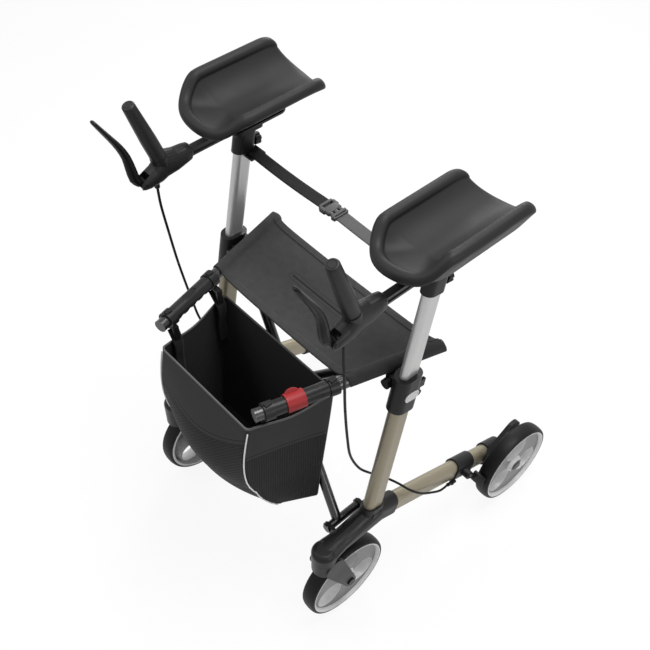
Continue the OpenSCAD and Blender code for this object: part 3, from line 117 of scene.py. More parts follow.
class WalkerColours(bpy.types.PropertyGroup):
    """Colours of the finishes, linear"""

    plastic: colour("Plastic", "Moulded black plastic", 0.0085, 0.0085, 0.0088)
    foam: colour("Foam", "Skin of the forearm troughs", 0.007, 0.007, 0.0072)
    rubber: colour("Rubber", "Hand grips", 0.011, 0.011, 0.0113)
    champagne: colour("Champagne", "Paint of the side frames", 0.235, 0.207, 0.144)
    silver: colour("Silver", "Anodised inner tubes", 0.5, 0.497, 0.493)
    rim: colour("Rim", "Wheel rims", 0.125, 0.123, 0.122)
    tyre: colour("Tyre", "Tyres", 0.004, 0.004, 0.0042)
    paint: colour("Black paint", "Seat tubes and braces", 0.006, 0.006, 0.0062)
    cloth: colour("Seat cloth", "Woven seat", 0.034, 0.034, 0.0345)
    bag: colour("Bag cloth", "Plain panels of the bag", 0.024, 0.024, 0.0245)
    webbing: colour("Webbing", "Belt", 0.010, 0.010, 0.0103)
    # Painted light: the belt's end on the user's left of the buckle, which faces up more, is lighter
    painted_lit_webbing: colour("Near webbing", "Belt between buckle and left arm", 0.088)
    buckle: colour("Buckle", "Side-release buckle", 0.057)
    piping: colour("Piping", "Piping of the bag", 0.75)
    red: colour("Red", "Lock tab", 0.24, 0.016, 0.018)
    steel: colour("Steel", "Bolts", 0.42)
    prism: colour("Reflector", "Reflectors", 0.46, 0.46, 0.455)
    sheath: colour("Cable", "Sheath of the brake cables", 0.004)
    bolts: colour("Dark bolts", "Plated bolts", 0.05)
    # Rim ring: painted highlight on the rims' edge ring and painted light on their window walls
    ring: colour("Rim ring", "Bright ring and window walls of the rims", 0.6)
    hub: colour("Hub", "Hubs of the wheels", 0.012)
    lining: colour("Bag inside", "Inside of the bag", 0.009)
    welt: colour("Welt", "Slit and seams of the seat", 0.004)
    floor: colour("Floor", "Pale floor", 0.9)


# Surfaces as whole arrays

def smooth01(t):
    """Smoothstep: 3 t squared less 2 t cubed, t held between 0 and 1."""
    t = np.clip(t, 0, 1)
    return t * t * (3 - 2 * t)


def mix(a, b, t):
    """Straight blend from a at t 0 to b at t 1."""
    return a + (b - a) * t


def tube_at(y):
    """Point of the left seat tube's axis at each y: a straight line from its front to its rear end."""
    t = (np.asarray(y, float) - TUBE_FRONT[1]) / (TUBE_REAR[1] - TUBE_FRONT[1])
    return TUBE_FRONT + (TUBE_REAR - TUBE_FRONT) * t[..., None]


def spline(points, steps):
    """Catmull-Rom curve through the points: each span is a cubic of its four nearest points."""
    p = np.vstack([points[:1], points, points[-1:]])
    t = np.linspace(0, 1, steps, endpoint=False)[None, :, None]
    a, b, c, d = (p[k:len(p) - 3 + k, None, :] for k in range(4))
    q = 0.5 * (2 * b + (c - a) * t + (2 * a - 5 * b + 4 * c - d) * t ** 2
               + (3 * b - a - 3 * c + d) * t ** 3)
    return np.vstack([q.reshape(-1, 3), points[-1:]])


def sweep(path, profile, lean):
    """Carries a closed profile along a path, square to its tangent; lean is a direction that the path never has."""
    t = np.gradient(path, axis=0)
    t /= np.linalg.norm(t, axis=1)[:, None]
    u = np.cross(t, np.array(lean))
    u /= np.linalg.norm(u, axis=1)[:, None]
    v = np.cross(t, u)
    return path[:, None] + u[:, None] * profile[None, :, :1] + v[:, None] * profile[None, :, 1:]


def circle(sides):
    """Angles of points all round a circle."""
    return np.linspace(0, 2 * np.pi, sides, endpoint=False)


def ring_profile(radius, sides):
    """Circle of points, counter-clockwise."""
    a = circle(sides)
    return radius * np.stack([np.cos(a), np.sin(a)], 1)


def grid_quads(rows, cols, wrap):
    """Quads between neighbouring rows and columns of a grid; wrap joins the last column to the first."""
    i = np.arange(rows - 1)[:, None]
    j = np.arange(cols if wrap else cols - 1)[None, :]
    k = (j + 1) % cols
    return np.stack([i * cols + j, i * cols + k, (i + 1) * cols + k, (i + 1) * cols + j], -1).reshape(-1, 4)


def grid_uv(grid, wrap):
    """Corner coordinates in metres: length round the mean row, and length down the mean column."""
    loop = np.concatenate([grid, grid[:, :1]], 1) if wrap else grid
    along = np.linalg.norm(np.diff(loop, axis=1), axis=2).mean(0)
    down = np.linalg.norm(np.diff(grid, axis=0), axis=2).mean(1)
    u = np.concatenate([[0], np.cumsum(along)])
    v = np.concatenate([[0], np.cumsum(down)])
    i, j = np.meshgrid(np.arange(len(v) - 1), np.arange(len(u) - 1), indexing="ij")
    corners = ((0, 0), (1, 0), (1, 1), (0, 1))
    return np.stack([np.stack([u[j + a], v[i + b]], -1) for a, b in corners], 2).reshape(-1, 2)


def end_quads(start, cols):
    """Quads across the end of a closed tube: point j of the ring faces point n - 1 - j."""
    j = np.arange(cols // 2 - 1)
    return start + np.stack([j, cols - 1 - j, cols - 2 - j, j + 1], 1)


def surface(grid, wrap=False, caps=False):
    """Points, faces and corner coordinates of one grid of points, closed at its ends if asked."""
    rows, cols = grid.shape[:2]
    quads = grid_quads(rows, cols, wrap)
    uv = grid_uv(grid, wrap)
    if caps:
        first = end_quads(0, cols)
        last = end_quads((rows - 1) * cols, cols)[:, ::-1]
        quads = np.vstack([quads, first, last])
        flat = grid.reshape(-1, 3)
        uv = np.vstack([uv, flat[np.vstack([first, last])].reshape(-1, 3)[:, [0, 2]]])
    return grid.reshape(-1, 3), quads, uv


def joined(*surfaces):
    """Several surfaces as one set of points, faces and corner coordinates."""
    start = np.cumsum([0] + [len(s[0]) for s in surfaces])
    return (np.vstack([s[0] for s in surfaces]),
            np.vstack([s[1] + k for s, k in zip(surfaces, start)]),
            np.vstack([s[2] for s in surfaces]))


def on_side(made, sign):
    """A surface of the user's left side, or its mirror image: x changes sign and every face turns round."""
    if sign > 0:
        return made
    points, quads, uv = made
    return points * (-1, 1, 1), quads[:, ::-1], uv.reshape(-1, 4, 2)[:, ::-1].reshape(-1, 2)


def soft_box(low, high, radius, n=6):
    """Box with round edges: a sphere's octants pushed apart to the box's corners less the radius."""
    low, high = np.array(low, float), np.array(high, float)
    lat = np.linspace(-np.pi / 2, np.pi / 2, 2 * n)
    lon = circle(4 * n) + np.pi / (4 * n)
    a, b = np.meshgrid(lat, lon, indexing="ij")
    ball = np.stack([np.cos(a) * np.cos(b), np.cos(a) * np.sin(b), np.sin(a)], -1)
    core = np.where(ball >= 0, high - radius, low + radius)
    return surface(core + ball * radius, wrap=True, caps=True)


def add_piece(name, made, body, material, values=None):
    """New object at the origin, with its place in its mesh and a material by name; it rides on a body."""
    points, quads, uv = made
    mesh = bpy.data.meshes.new(name)
    mesh.from_pydata(points.tolist(), [], quads.tolist())
    layer = mesh.uv_layers.new(name="cloth")
    layer.data.foreach_set("uv", uv.astype(np.float32).ravel())
    for key, column in (values or {}).items():
        mesh.attributes.new(key, "FLOAT", "POINT").data.foreach_set("value", column.astype(np.float32))
    mesh.polygons.foreach_set("use_smooth", np.ones(len(mesh.polygons), bool))
    mesh.materials.append(MATERIALS[material])
    piece = bpy.data.objects.new(name, mesh)
    bpy.context.scene.collection.objects.link(piece)
    if body:
        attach(piece, body)
    return piece


def solid(piece, thickness):
    """Gives a sheet its thickness, half of it on either side."""
    wall = piece.modifiers.new("thickness", "SOLIDIFY")
    wall.thickness = thickness
    wall.offset = 0.0
    return piece


WELD_DISTANCE = 2e-6


def weld(piece):
    """Joins points that fall on one place, as the halves of a trough do along its spine."""
    mesh = bmesh.new()
    mesh.from_mesh(piece.data)
    bmesh.ops.remove_doubles(mesh, verts=mesh.verts, dist=WELD_DISTANCE)
    mesh.to_mesh(piece.data)
    mesh.free()


def turn_outwards(piece):
    """Flips a closed mesh whose volume comes out negative."""
    mesh = piece.data
    mesh.calc_loop_triangles()
    corners = np.zeros(len(mesh.loop_triangles) * 3, np.int32)
    mesh.loop_triangles.foreach_get("vertices", corners)
    points = np.zeros(len(mesh.vertices) * 3)
    mesh.vertices.foreach_get("co", points)
    a, b, c = (points.reshape(-1, 3)[corners.reshape(-1, 3)[:, k]] for k in range(3))
    if np.einsum("ij,ij->i", a, np.cross(b, c)).sum() < 0:
        mesh.flip_normals()


# Shader groups and materials

class Tree:
    """Short calls for building a node tree."""

    SIGNS = {"*": "MULTIPLY", "+": "ADD", "-": "SUBTRACT", "<": "LESS_THAN", ">": "GREATER_THAN"}

    def __init__(self, tree):
        self.tree = tree

    def add(self, kind, *links, **settings):
        """New node with settings; links pair an input's name or number with a socket or a value."""
        made = self.tree.nodes.new("ShaderNode" + kind)
        for key, value in settings.items():
            setattr(made, key, value)
        for key, value in links:
            self.link(value, made.inputs[key])
        return made

    def link(self, source, target):
        """Gives an input socket a link or a constant; a colour of three numbers is opaque."""
        if isinstance(source, bpy.types.NodeSocket):
            self.tree.links.new(source, target)
        else:
            target.default_value = (*source, 1) if target.type == "RGBA" and len(source) == 3 else source

    def axes(self, kind):
        """x, y and z of one kind of the surface's coordinates."""
        return self.add("SeparateXYZ", (0, self.add("TexCoord").outputs[kind])).outputs

    def math(self, operation, a, b=0.0):
        """Result of a math node on two sockets or numbers; the usual operations go by their signs."""
        return self.add("Math", (0, a), (1, b), operation=self.SIGNS.get(operation, operation)).outputs[0]

    def band(self, value, middle, half):
        """1 where the value is less than half away from the middle, else 0."""
        return self.math("<", self.math("ABSOLUTE", self.math("-", value, middle)), half)

    def blend(self, factor, a, b):
        """Colour mixed from a to b."""
        return self.add("Mix", ("Factor", factor), (6, a), (7, b), data_type="RGBA").outputs[2]


def shader_group(name, inputs, outputs):
    """Empty node group with named sockets: its tree helper, input sockets and output node."""
    tree = bpy.data.node_groups.new(name, "ShaderNodeTree")
    for way, sockets in (("INPUT", inputs), ("OUTPUT", outputs)):
        for key, kind in sockets:
            tree.interface.new_socket(key, in_out=way, socket_type="NodeSocket" + kind)
    return Tree(tree), tree.nodes.new("NodeGroupInput").outputs, tree.nodes.new("NodeGroupOutput").inputs


# Scales of noise per metre
PATCH_SCALE, UNEVEN_SCALE = 14.0, 60.0


def grain_group():
    """Moulded grain: fine noise gives the height, coarse noise shifts colour and roughness a little."""
    t, given, out = shader_group(
        "moulded_grain",
        [("Place", "Vector"), ("Fineness", "Float"), ("Colour", "Color"), ("Worn colour", "Color"),
         ("Rough low", "Float"), ("Rough high", "Float")],
        [("Colour", "Color"), ("Roughness", "Float"), ("Height", "Float")])
    fine = t.add("TexNoise", ("Vector", given["Place"]), ("Scale", given["Fineness"]), ("Detail", 3.0))
    broad = t.add("TexNoise", ("Vector", given["Place"]), ("Scale", PATCH_SCALE), ("Detail", 4.0))
    patch = t.add("MapRange", ("Value", broad.outputs[0]), ("From Min", 0.35), ("From Max", 0.75)).outputs[0]
    top = t.add("SeparateXYZ", (0, t.add("NewGeometry").outputs["Normal"])).outputs[2]
    dust = t.math("*", t.math("MAXIMUM", top, 0.0), patch)
    t.link(t.blend(dust, given["Colour"], given["Worn colour"]), out["Colour"])
    rough = t.add("MapRange", ("Value", broad.outputs[0]), ("From Min", 0.3), ("From Max", 0.7),
                  ("To Min", given["Rough low"]), ("To Max", given["Rough high"]))
    t.link(rough.outputs[0], out["Roughness"])
    t.link(fine.outputs[0], out["Height"])
    return t.tree


def weave_group():
    """Plain weave: squared sines across and along, swapped in a chequer of thread crossings; the colour goes from
    the gap colour where the weave is low to the thread colour where it is high, painted shade between the threads,
    with random tone.
    """
    t, given, out = shader_group(
        "plain_weave",
        [("Place", "Vector"), ("Pitch", "Float"), ("Thread", "Color"), ("Gap", "Color")],
        [("Colour", "Color"), ("Height", "Float")])
    split = t.add("SeparateXYZ", (0, given["Place"]))
    u, v = (t.math("DIVIDE", split.outputs[k], given["Pitch"]) for k in (0, 1))
    bump_u, bump_v = (t.math("ABSOLUTE", t.math("SINE", t.math("*", x, np.pi))) for x in (u, v))
    chequer = t.math("MODULO", t.math("+", t.math("FLOOR", u), t.math("FLOOR", v)), 2.0)
    over = t.math("ABSOLUTE", chequer)
    height = t.math("+", t.math("*", bump_u, over), t.math("*", bump_v, t.math("-", 1.0, over)))
    uneven = t.add("TexNoise", ("Vector", given["Place"]), ("Scale", UNEVEN_SCALE), ("Detail", 3.0)).outputs[0]
    # Painted shade: darker where the weave is low, between the threads; the noise adds random tone
    lit = t.math("*", height, t.math("+", 0.55, t.math("*", uneven, 0.7)))
    t.link(t.blend(lit, given["Gap"], given["Thread"]), out["Colour"])
    t.link(height, out["Height"])
    return t.tree


GROUPS = {}
MATERIALS = {}


def shared(name, build):
    """A node group, built at its first use."""
    if name not in GROUPS:
        GROUPS[name] = build()
    return GROUPS[name]


def start_material(name, spec=0.5, **sockets):
    """Tree and Principled shader of a new material; the shader's constants are set on its own sockets."""
    material = bpy.data.materials.new(name)
    material.use_nodes = True
    shader = material.node_tree.nodes["Principled BSDF"]
    shader.inputs["Specular IOR Level"].default_value = spec
    for key, value in sockets.items():
        shader.inputs[key.replace("_", " ")].default_value = value
    MATERIALS[name] = material
    return Tree(material.node_tree), shader


def tint(base, times):
    """Colour times a factor, held at one."""
    return tuple(min(c * times, 1) for c in base)


def add_bump(t, shader, height, strength, distance):
    """Height into the shader's normal."""
    bump = t.add("Bump", ("Height", height), ("Strength", strength), ("Distance", distance))
    t.link(bump.outputs[0], shader.inputs["Normal"])


# Depths of relief, and shades as factors on a colour
GRAIN_DEPTH, STREAK_DEPTH = 0.0004, 0.0003
STREAK_DARK, STREAK_LIGHT = 0.9, 1.12
# Lean of the tubes, in radians
TUBE_TURN = (0.197, 0, 0)
# Threads lighter by a factor, the weave's gaps darker as painted shade; depth of the weave's bump as a share of its
# pitch
THREAD_SHADE, WEAVE_DEPTH = 1.5, 0.35


def grain_node(t, kind, base, fineness, worn, rough=(0.0, 0.0)):
    """Outputs of the grain group on one kind of the surface's coordinates."""
    return t.add("Group", ("Place", t.add("TexCoord").outputs[kind]), ("Fineness", fineness), ("Colour", base),
                 ("Worn colour", tint(base, worn)), ("Rough low", rough[0]), ("Rough high", rough[1]),
                 node_tree=shared("grain", grain_group)).outputs


def weave_node(t, base, pitch, thread, gap):
    """Outputs of the weave group on the piece's own coordinates in metres."""
    return t.add("Group", ("Place", t.add("TexCoord").outputs["UV"]), ("Pitch", pitch),
                 ("Thread", tint(base, thread)), ("Gap", tint(base, gap)),
                 node_tree=shared("weave", weave_group)).outputs


def moulded(name, base, fineness=700.0, rough=(0.42, 0.56), worn=1.35, strength=0.12, **sockets):
    """Moulded or painted finish with fine grain, dusty tops and uneven gloss."""
    t, shader = start_material(name, **sockets)
    grain = grain_node(t, "Object", base, fineness, worn, rough)
    t.link(grain["Colour"], shader.inputs["Base Color"])
    t.link(grain["Roughness"], shader.inputs["Roughness"])
    add_bump(t, shader, grain["Height"], strength, GRAIN_DEPTH)
    return t, shader


def brushed(name, base, rough, metallic, stretch=(900, 900, 16), **sockets):
    """Drawn metal: noise stretched along the tube gives streaks in colour, gloss and height."""
    t, shader = start_material(name, Metallic=metallic, **sockets)
    place = t.add("TexCoord").outputs["Object"]
    drawn = t.add("Mapping", ("Vector", place), ("Rotation", TUBE_TURN), ("Scale", stretch))
    streak = t.add("TexNoise", ("Vector", drawn.outputs[0]), ("Scale", 1.0), ("Detail", 4.0)).outputs[0]
    t.link(t.blend(streak, tint(base, STREAK_DARK), tint(base, STREAK_LIGHT)), shader.inputs["Base Color"])
    gloss = t.add("MapRange", ("Value", streak), ("To Min", rough - 0.06), ("To Max", rough + 0.08))
    t.link(gloss.outputs[0], shader.inputs["Roughness"])
    add_bump(t, shader, streak, 0.05, STREAK_DEPTH)


def woven(name, base, pitch, gap=0.35, strength=0.5, near=None):
    """Woven cloth; near, where given, is a lighter colour on the user's left of the buckle: painted light on that
    end of the belt, which faces up more.
    """
    t, shader = start_material(name, Roughness=0.85, Sheen_Weight=0.05, spec=0.15)
    weave = weave_node(t, base, pitch, THREAD_SHADE, gap)
    shade = weave["Colour"]
    if near is not None:
        # Painted light on the belt's end on the user's left of the buckle
        shade = t.blend(t.math(">", t.axes("Object")[0], BUCKLE_X), shade, near)
    t.link(shade, shader.inputs["Base Color"])
    add_bump(t, shader, weave["Height"], strength, pitch * WEAVE_DEPTH)
    return t, shader


# Seams of the bag's plain band: height over its edge, half width
BAND_SEAMS = ((0.0005, 0.0007), (0.0095, 0.0012))
# Shades of the bag's mesh and seams: thread, painted shade in the weave's gaps and in the grooves between ribs,
# seam
MESH_THREAD, MESH_GAP_SHADE, MESH_GROOVE_SHADE, SEAM_SHADE = 0.8, 0.1, 0.12, 0.15


def bag_material(plain, lining, pitch):
    """Bag: plain cloth above the band's edge, ribbed mesh below it with painted shade in the grooves between its
    ribs and in the gaps of its weave, and two sewn lines at the edge.
    """
    t, shader = start_material("bag_cloth", Roughness=0.75, Sheen_Weight=0.05, spec=0.15)
    weave = weave_node(t, plain, pitch, MESH_THREAD, MESH_GAP_SHADE)
    fine = grain_node(t, "UV", plain, 1400.0, 1.25)
    edge, ribs, inside = (t.add("Attribute", attribute_name=key).outputs["Fac"]
                          for key in ("band_edge", "ribs", "inside"))
    above = t.math(">", edge, 0.0)
    wave = t.math("SINE", t.math("*", ribs, 2 * np.pi))
    ridge = t.math("+", 0.5, t.math("*", wave, 0.5))
    # Painted shade in the grooves between the mesh's ribs
    mesh = t.blend(ridge, tint(plain, MESH_GROOVE_SHADE), weave["Colour"])
    cloth = t.blend(above, mesh, fine["Colour"])
    stitch = t.math("MAXIMUM", *(t.band(edge, *seam) for seam in BAND_SEAMS))
    sewn = t.blend(stitch, cloth, tint(plain, SEAM_SHADE))
    t.link(t.blend(inside, sewn, lining), shader.inputs["Base Color"])
    below = t.math("+", t.math("*", weave["Height"], 0.4), ridge)
    height = t.math("+", t.math("*", below, t.math("-", 1.0, above)), t.math("*", above, 1.5))
    add_bump(t, shader, t.math("-", height, stitch), 0.4, pitch * 0.4)


# Slit of the seat's lift strap and its sewn frame, half sizes
SLIT = Named(y=-0.050, w=0.0015, l=0.083, frame_w=0.009, frame_l=0.09, seam=0.0005, shade=0.55)


def seat_material(base, welt, pitch):
    """Seat cloth with the dark welt of the lift strap's slit across its middle and a sewn frame round it."""
    t, shader = woven("seat_cloth", base, pitch)
    cloth = shader.inputs["Base Color"].links[0].from_socket
    place = t.axes("Object")
    x = t.math("ABSOLUTE", place[0])
    off = t.math("ABSOLUTE", t.math("-", place[1], SLIT.y))
    slit = t.math("*", t.math("<", off, SLIT.w), t.math("<", x, SLIT.l))
    sides = t.math("*", t.band(off, SLIT.frame_w, SLIT.seam), t.math("<", x, SLIT.frame_l))
    ends = t.math("*", t.band(x, SLIT.frame_l, SLIT.seam), t.math("<", off, SLIT.frame_w))
    seam = t.math("*", t.math("MAXIMUM", sides, ends), SLIT.shade)
    t.link(t.blend(t.math("MAXIMUM", slit, seam), cloth, welt), shader.inputs["Base Color"])


# A rim's radii: beyond the first its edge ring gets a painted highlight, within the second is its dark hub; and the
# shares of x in the normal between which the painted light on a window's wall fades
PAINTED_HIGHLIGHT_R, HUB_R = 0.0875, 0.0125
WALL_FROM, WALL_TO = 0.45, 0.85


def rim_material(base, painted_highlight, dark):
    """Rim: satin grey, with a painted highlight beyond a radius from its axle and painted light on the windows'
    walls, which turn away from the axle's direction, and dark at the hub."""
    t, shader = moulded("grey_rim", base, fineness=900.0, rough=(0.3, 0.42), worn=1.1, strength=0.08)
    satin = shader.inputs["Base Color"].links[0].from_socket
    place = t.axes("Object")
    rear = t.math(">", place[1], BETWEEN_AXLES_Y)
    axle = t.math("+", AXLE_Y[0], t.math("*", rear, AXLE_Y[1] - AXLE_Y[0]))
    across = t.math("POWER", t.math("-", place[1], axle), 2.0)
    up = t.math("POWER", t.math("-", place[2], AXLE_Z), 2.0)
    out = t.math("SQRT", t.math("+", across, up))
    facing = t.math("ABSOLUTE", t.axes("Normal")[0])
    wall = t.add("MapRange", ("Value", facing), ("From Min", WALL_FROM), ("From Max", WALL_TO),
                 ("To Min", 1.0), ("To Max", 0.0)).outputs[0]
    # Painted highlight beyond the ring's radius and painted light on the window walls; the dark hub is its own
    # colour
    lit = t.blend(t.math("MAXIMUM", t.math(">", out, PAINTED_HIGHLIGHT_R), wall), satin, painted_highlight)
    t.link(t.blend(t.math("<", out, HUB_R), lit, dark), shader.inputs["Base Color"])


def make_materials(c):
    """Every finish of the walker, under the record's slot names where it has one."""
    hard = {"rough": (0.32, 0.44), "spec": 0.2}
    moulded("black_plastic", c.plastic, **hard)
    moulded("black_casting", c.plastic, **hard)
    moulded("lever_plastic", tint(c.plastic, 0.4), rough=(0.28, 0.4), spec=0.1)
    moulded("black_rail", tint(c.plastic, 1.5), rough=(0.26, 0.36), fineness=1100.0, spec=0.35)
    moulded("pad_foam", c.foam, fineness=520.0, rough=(0.5, 0.6), strength=0.1, spec=0.22)
    moulded("grip_rubber", c.rubber, fineness=460.0, rough=(0.38, 0.5), strength=0.2, spec=0.2)
    moulded("tyre_rubber", c.tyre, fineness=380.0, rough=(0.42, 0.55), strength=0.15, worn=1.5, spec=0.15)
    rim_material(c.rim, c.ring, c.hub)
    moulded("red_plastic", c.red, rough=(0.4, 0.5), strength=0.08, spec=0.2)
    moulded("cable_sheath", c.sheath, rough=(0.35, 0.5), strength=0.06, spec=0.12)
    moulded("black_tube", c.paint, rough=(0.28, 0.38), strength=0.05, Coat_Weight=0.25, Coat_Roughness=0.2)
    moulded("white_reflector", c.prism, rough=(0.12, 0.2), strength=0.02, Coat_Weight=0.6, Coat_Roughness=0.08)
    moulded("piping_white", c.piping, rough=(0.5, 0.6), fineness=1500.0)
    moulded("hem_cloth", tint(c.bag, 3), rough=(0.7, 0.85), fineness=1300.0, strength=0.4)
    brushed("champagne_paint", c.champagne, rough=0.42, metallic=0.45, stretch=(1100, 1100, 90),
            Coat_Weight=0.2, Coat_Roughness=0.3)
    brushed("silver_tube", c.silver, rough=0.36, metallic=0.7)
    brushed("steel_bolt", c.steel, rough=0.3, metallic=1.0, stretch=(400, 400, 400))
    moulded("dark_bolts", c.bolts, rough=(0.3, 0.42), Metallic=0.6)
    woven("webbing", c.webbing, 0.0022, gap=0.5, strength=0.6, near=c.painted_lit_webbing)
    moulded("buckle_plastic", c.buckle, **hard)
    woven("strap_cloth", tint(c.webbing, 0.6), 0.0018, gap=0.5)
    seat_material(c.cloth, c.welt, bpy.context.scene.walker_sizes.weave)
    bag_material(c.bag, c.lining, 0.0024)


# Pieces: lengths in metres, angles in degrees, runs and places along a piece as shares of its length

# Forearm trough
PAD = Named(len=0.241, crest_w=0.143, t=0.021, mid=(0.2465, -0.0075, 0.9150), tilt=8.0)
# Its rim, low at the nose, with horns at the rear
RIM = Named(h=0.044, nose_h=0.014, begin=0.03, run=0.2, horn_run=0.16, horn_drop=0.5)
# Its outline: superellipse of the nose, and sides that draw in at the rear
OUTLINE = Named(nose=0.3, power=2.2, draw_in=0.04, draw_run=0.12)
# Its rear edge; least is a thickness squared
REAR = Named(round=0.017, least=0.002, bulge=0.015, power=1.3, run=0.25)
# Its section; the bead's end is in radians
DISH_POWER = 2.3
SKIN = Named(less=0.0026, begin=0.35, run=0.55)
BEAD = Named(r=0.0116, end=0.5, steps=22)
UNDERSIDE_POWERS = (3.0, 6.0)


def at_rear(along, run):
    """Smoothstep from 0, a run ahead of the rear end, to 1 at the end; both are shares of the length."""
    return smooth01((along - (1 - run)) / run)


def pad_crest(along):
    """Height of the trough's rim over its floor: low at the nose, up by a smoothstep, round at the rear horns."""
    past = np.clip((along - (1 - RIM.horn_run)) / RIM.horn_run, 0, 1)
    horn = 1 - RIM.horn_drop * (1 - np.sqrt(1 - past ** 2))
    return mix(RIM.nose_h, RIM.h, smooth01((along - RIM.begin) / RIM.run)) * horn


def pad_surface(side_rows=44, nose_rows=72, across=40):
    """Trough of foam on rays from its spine to its outline, straight sides and a superellipse. A ray's section is
    a dish that rises as a power of the share outwards to a crease at a round bead, and a flat underside that
    turns up to the bead. All thins out at the rear."""
    wide, long, nose = PAD.crest_w / 2, PAD.len, OUTLINE.nose * PAD.len
    power = 2 / OUTLINE.power
    back = np.sin(np.linspace(np.pi / 2, 0, side_rows, endpoint=False)) * (long - nose) - long / 2 + nose
    turn = np.linspace(0, np.pi, nose_rows)
    x = np.concatenate([0 * back + 1, np.sign(np.cos(turn)) * np.abs(np.cos(turn)) ** power, 0 * back - 1]) * wide
    y = np.concatenate([back, nose - long / 2 - nose * np.sin(turn) ** power, back[::-1]])
    spine = np.stack([0 * y, np.maximum(y, nose - long / 2), 0 * y], 1)
    along = y / long + 0.5
    x = x * (1 - OUTLINE.draw_in * at_rear(along, OUTLINE.draw_run))
    ray = np.stack([x, y, 0 * y], 1) - spine
    reach = np.linalg.norm(ray, axis=1)
    ray = (ray / reach[:, None])[:, None]
    past = np.clip(1 - (long / 2 - y) / REAR.round, 0, 1)
    thin = np.sqrt(np.maximum(1 - past ** 2, REAR.least))[:, None]
    crest, reach, bead = pad_crest(along)[:, None], reach[:, None], BEAD.r * thin

    def dish(v):
        """Distance out and height of the upper skin: half the foam, less at the rim, square to the rise."""
        rise = DISH_POWER * crest * v ** (DISH_POWER - 1) / reach
        less = SKIN.less * smooth01((v - SKIN.begin) / SKIN.run)
        skin = thin * (PAD.t / 2 - less) / np.sqrt(1 + rise ** 2)
        return reach * v - rise * skin, crest * v ** DISH_POWER + skin

    tries = np.linspace(0, 1, 500)[None]
    out, up = dish(tries)
    meets = np.argmax(np.hypot(out - reach, up - crest) < bead, axis=1)
    out, up = dish(tries[0, meets][:, None] * np.linspace(0, 1, across)[None])
    begin = np.mod(np.arctan2(up[:, -1:] - crest, out[:, -1:] - reach), 2 * np.pi)
    a = mix(begin, -BEAD.end, np.linspace(0, 1, BEAD.steps + 1)[None, 1:])
    w = np.linspace(1, 0, across + BEAD.steps)[None, BEAD.steps:]
    low = crest - np.sin(BEAD.end) * bead
    turn_up = w ** mix(*UNDERSIDE_POWERS, (1 + x[:, None] / wide) / 2)
    drop = crest * w ** DISH_POWER - mix(-PAD.t / 2, low, turn_up)
    out = np.concatenate([out, reach + bead * np.cos(a), (reach + bead * np.cos(BEAD.end)) * w], 1)
    up = np.concatenate([up, crest + bead * np.sin(a), crest * w ** DISH_POWER - drop * thin], 1)
    grid = spine[:, None] + ray * out[..., None]
    bulge = REAR.bulge * np.maximum(1 - (out / reach) ** 2, 0) ** REAR.power
    grid[..., 1] += bulge * at_rear(along, REAR.run)[:, None]
    tilt = np.radians(PAD.tilt)
    made = np.stack([grid[..., 0] * np.cos(tilt) - up * np.sin(tilt), grid[..., 1],
                     grid[..., 0] * np.sin(tilt) + up * np.cos(tilt)], -1)
    return surface(made + np.array(PAD.mid), caps=True)


class WALKER_OT_finishes(bpy.types.Operator):
    """Makes the finishes and puts them on the rigid pieces of the part"""

    bl_idname = "walker.finishes"
    bl_label = "Finishes"

    def execute(self, context):
        make_materials(context.scene.walker_colours)
        for name, node in NODES.items():
            node.data.materials.clear()
            node.data.materials.append(MATERIALS[SLOT_OF[name]])
        return {"FINISHED"}


class WALKER_OT_cables(bpy.types.Operator):
    """Makes both brake cables, each in an upper and a lower length"""

    bl_idname = "walker.cables"
    bl_label = "Brake cables"

    def execute(self, context):
        d = context.scene.walker_sizes.cable
        path = spline(CABLE_ROUTE, CABLE_STEPS)
        cut = CABLE_CUT * CABLE_STEPS
        for side, sign in SIDES:
            route = path * (sign, 1, 1)
            for part, line in (("upper", route[:cut + 1]), ("lower", route[cut:])):
                grid = sweep(line, ring_profile(d / 2, CABLE_SIDES), lean=(0.8 * sign, 0.1, 0.6))
                made = surface(grid, wrap=True, caps=True)
                piece = add_piece(f"{side}_cable_{part}", made, None, "cable_sheath")
                turn_outwards(piece)
                if part == "upper":
                    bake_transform(piece)
                else:
                    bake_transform(piece)
                    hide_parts(f"{side}_brake_cable")
        return {"FINISHED"}


class WALKER_OT_pads(bpy.types.Operator):
    """Makes the two forearm troughs"""

    bl_idname = "walker.pads"
    bl_label = "Forearm troughs"

    def execute(self, context):
        made = pad_surface()
        for side, sign in SIDES:
            piece = add_piece(f"{side}_trough", on_side(made, sign), f"{side}_arm", "pad_foam")
            weld(piece)
            turn_outwards(piece)
            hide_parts(f"{side}_forearm_pad")
        return {"FINISHED"}


# Seat; it goes round the tubes between the angles of wrap
SEAT = Named(front=-0.157, depth=0.188, off_tube=0.0020, sag=0.005, fall=0.012, wrap=(-8, 150))
# Its hems, which leave a number of the wrap's points free
SEAT_HEM = Named(w=0.016, lift=0.0016, t=0.0012, skip=14)


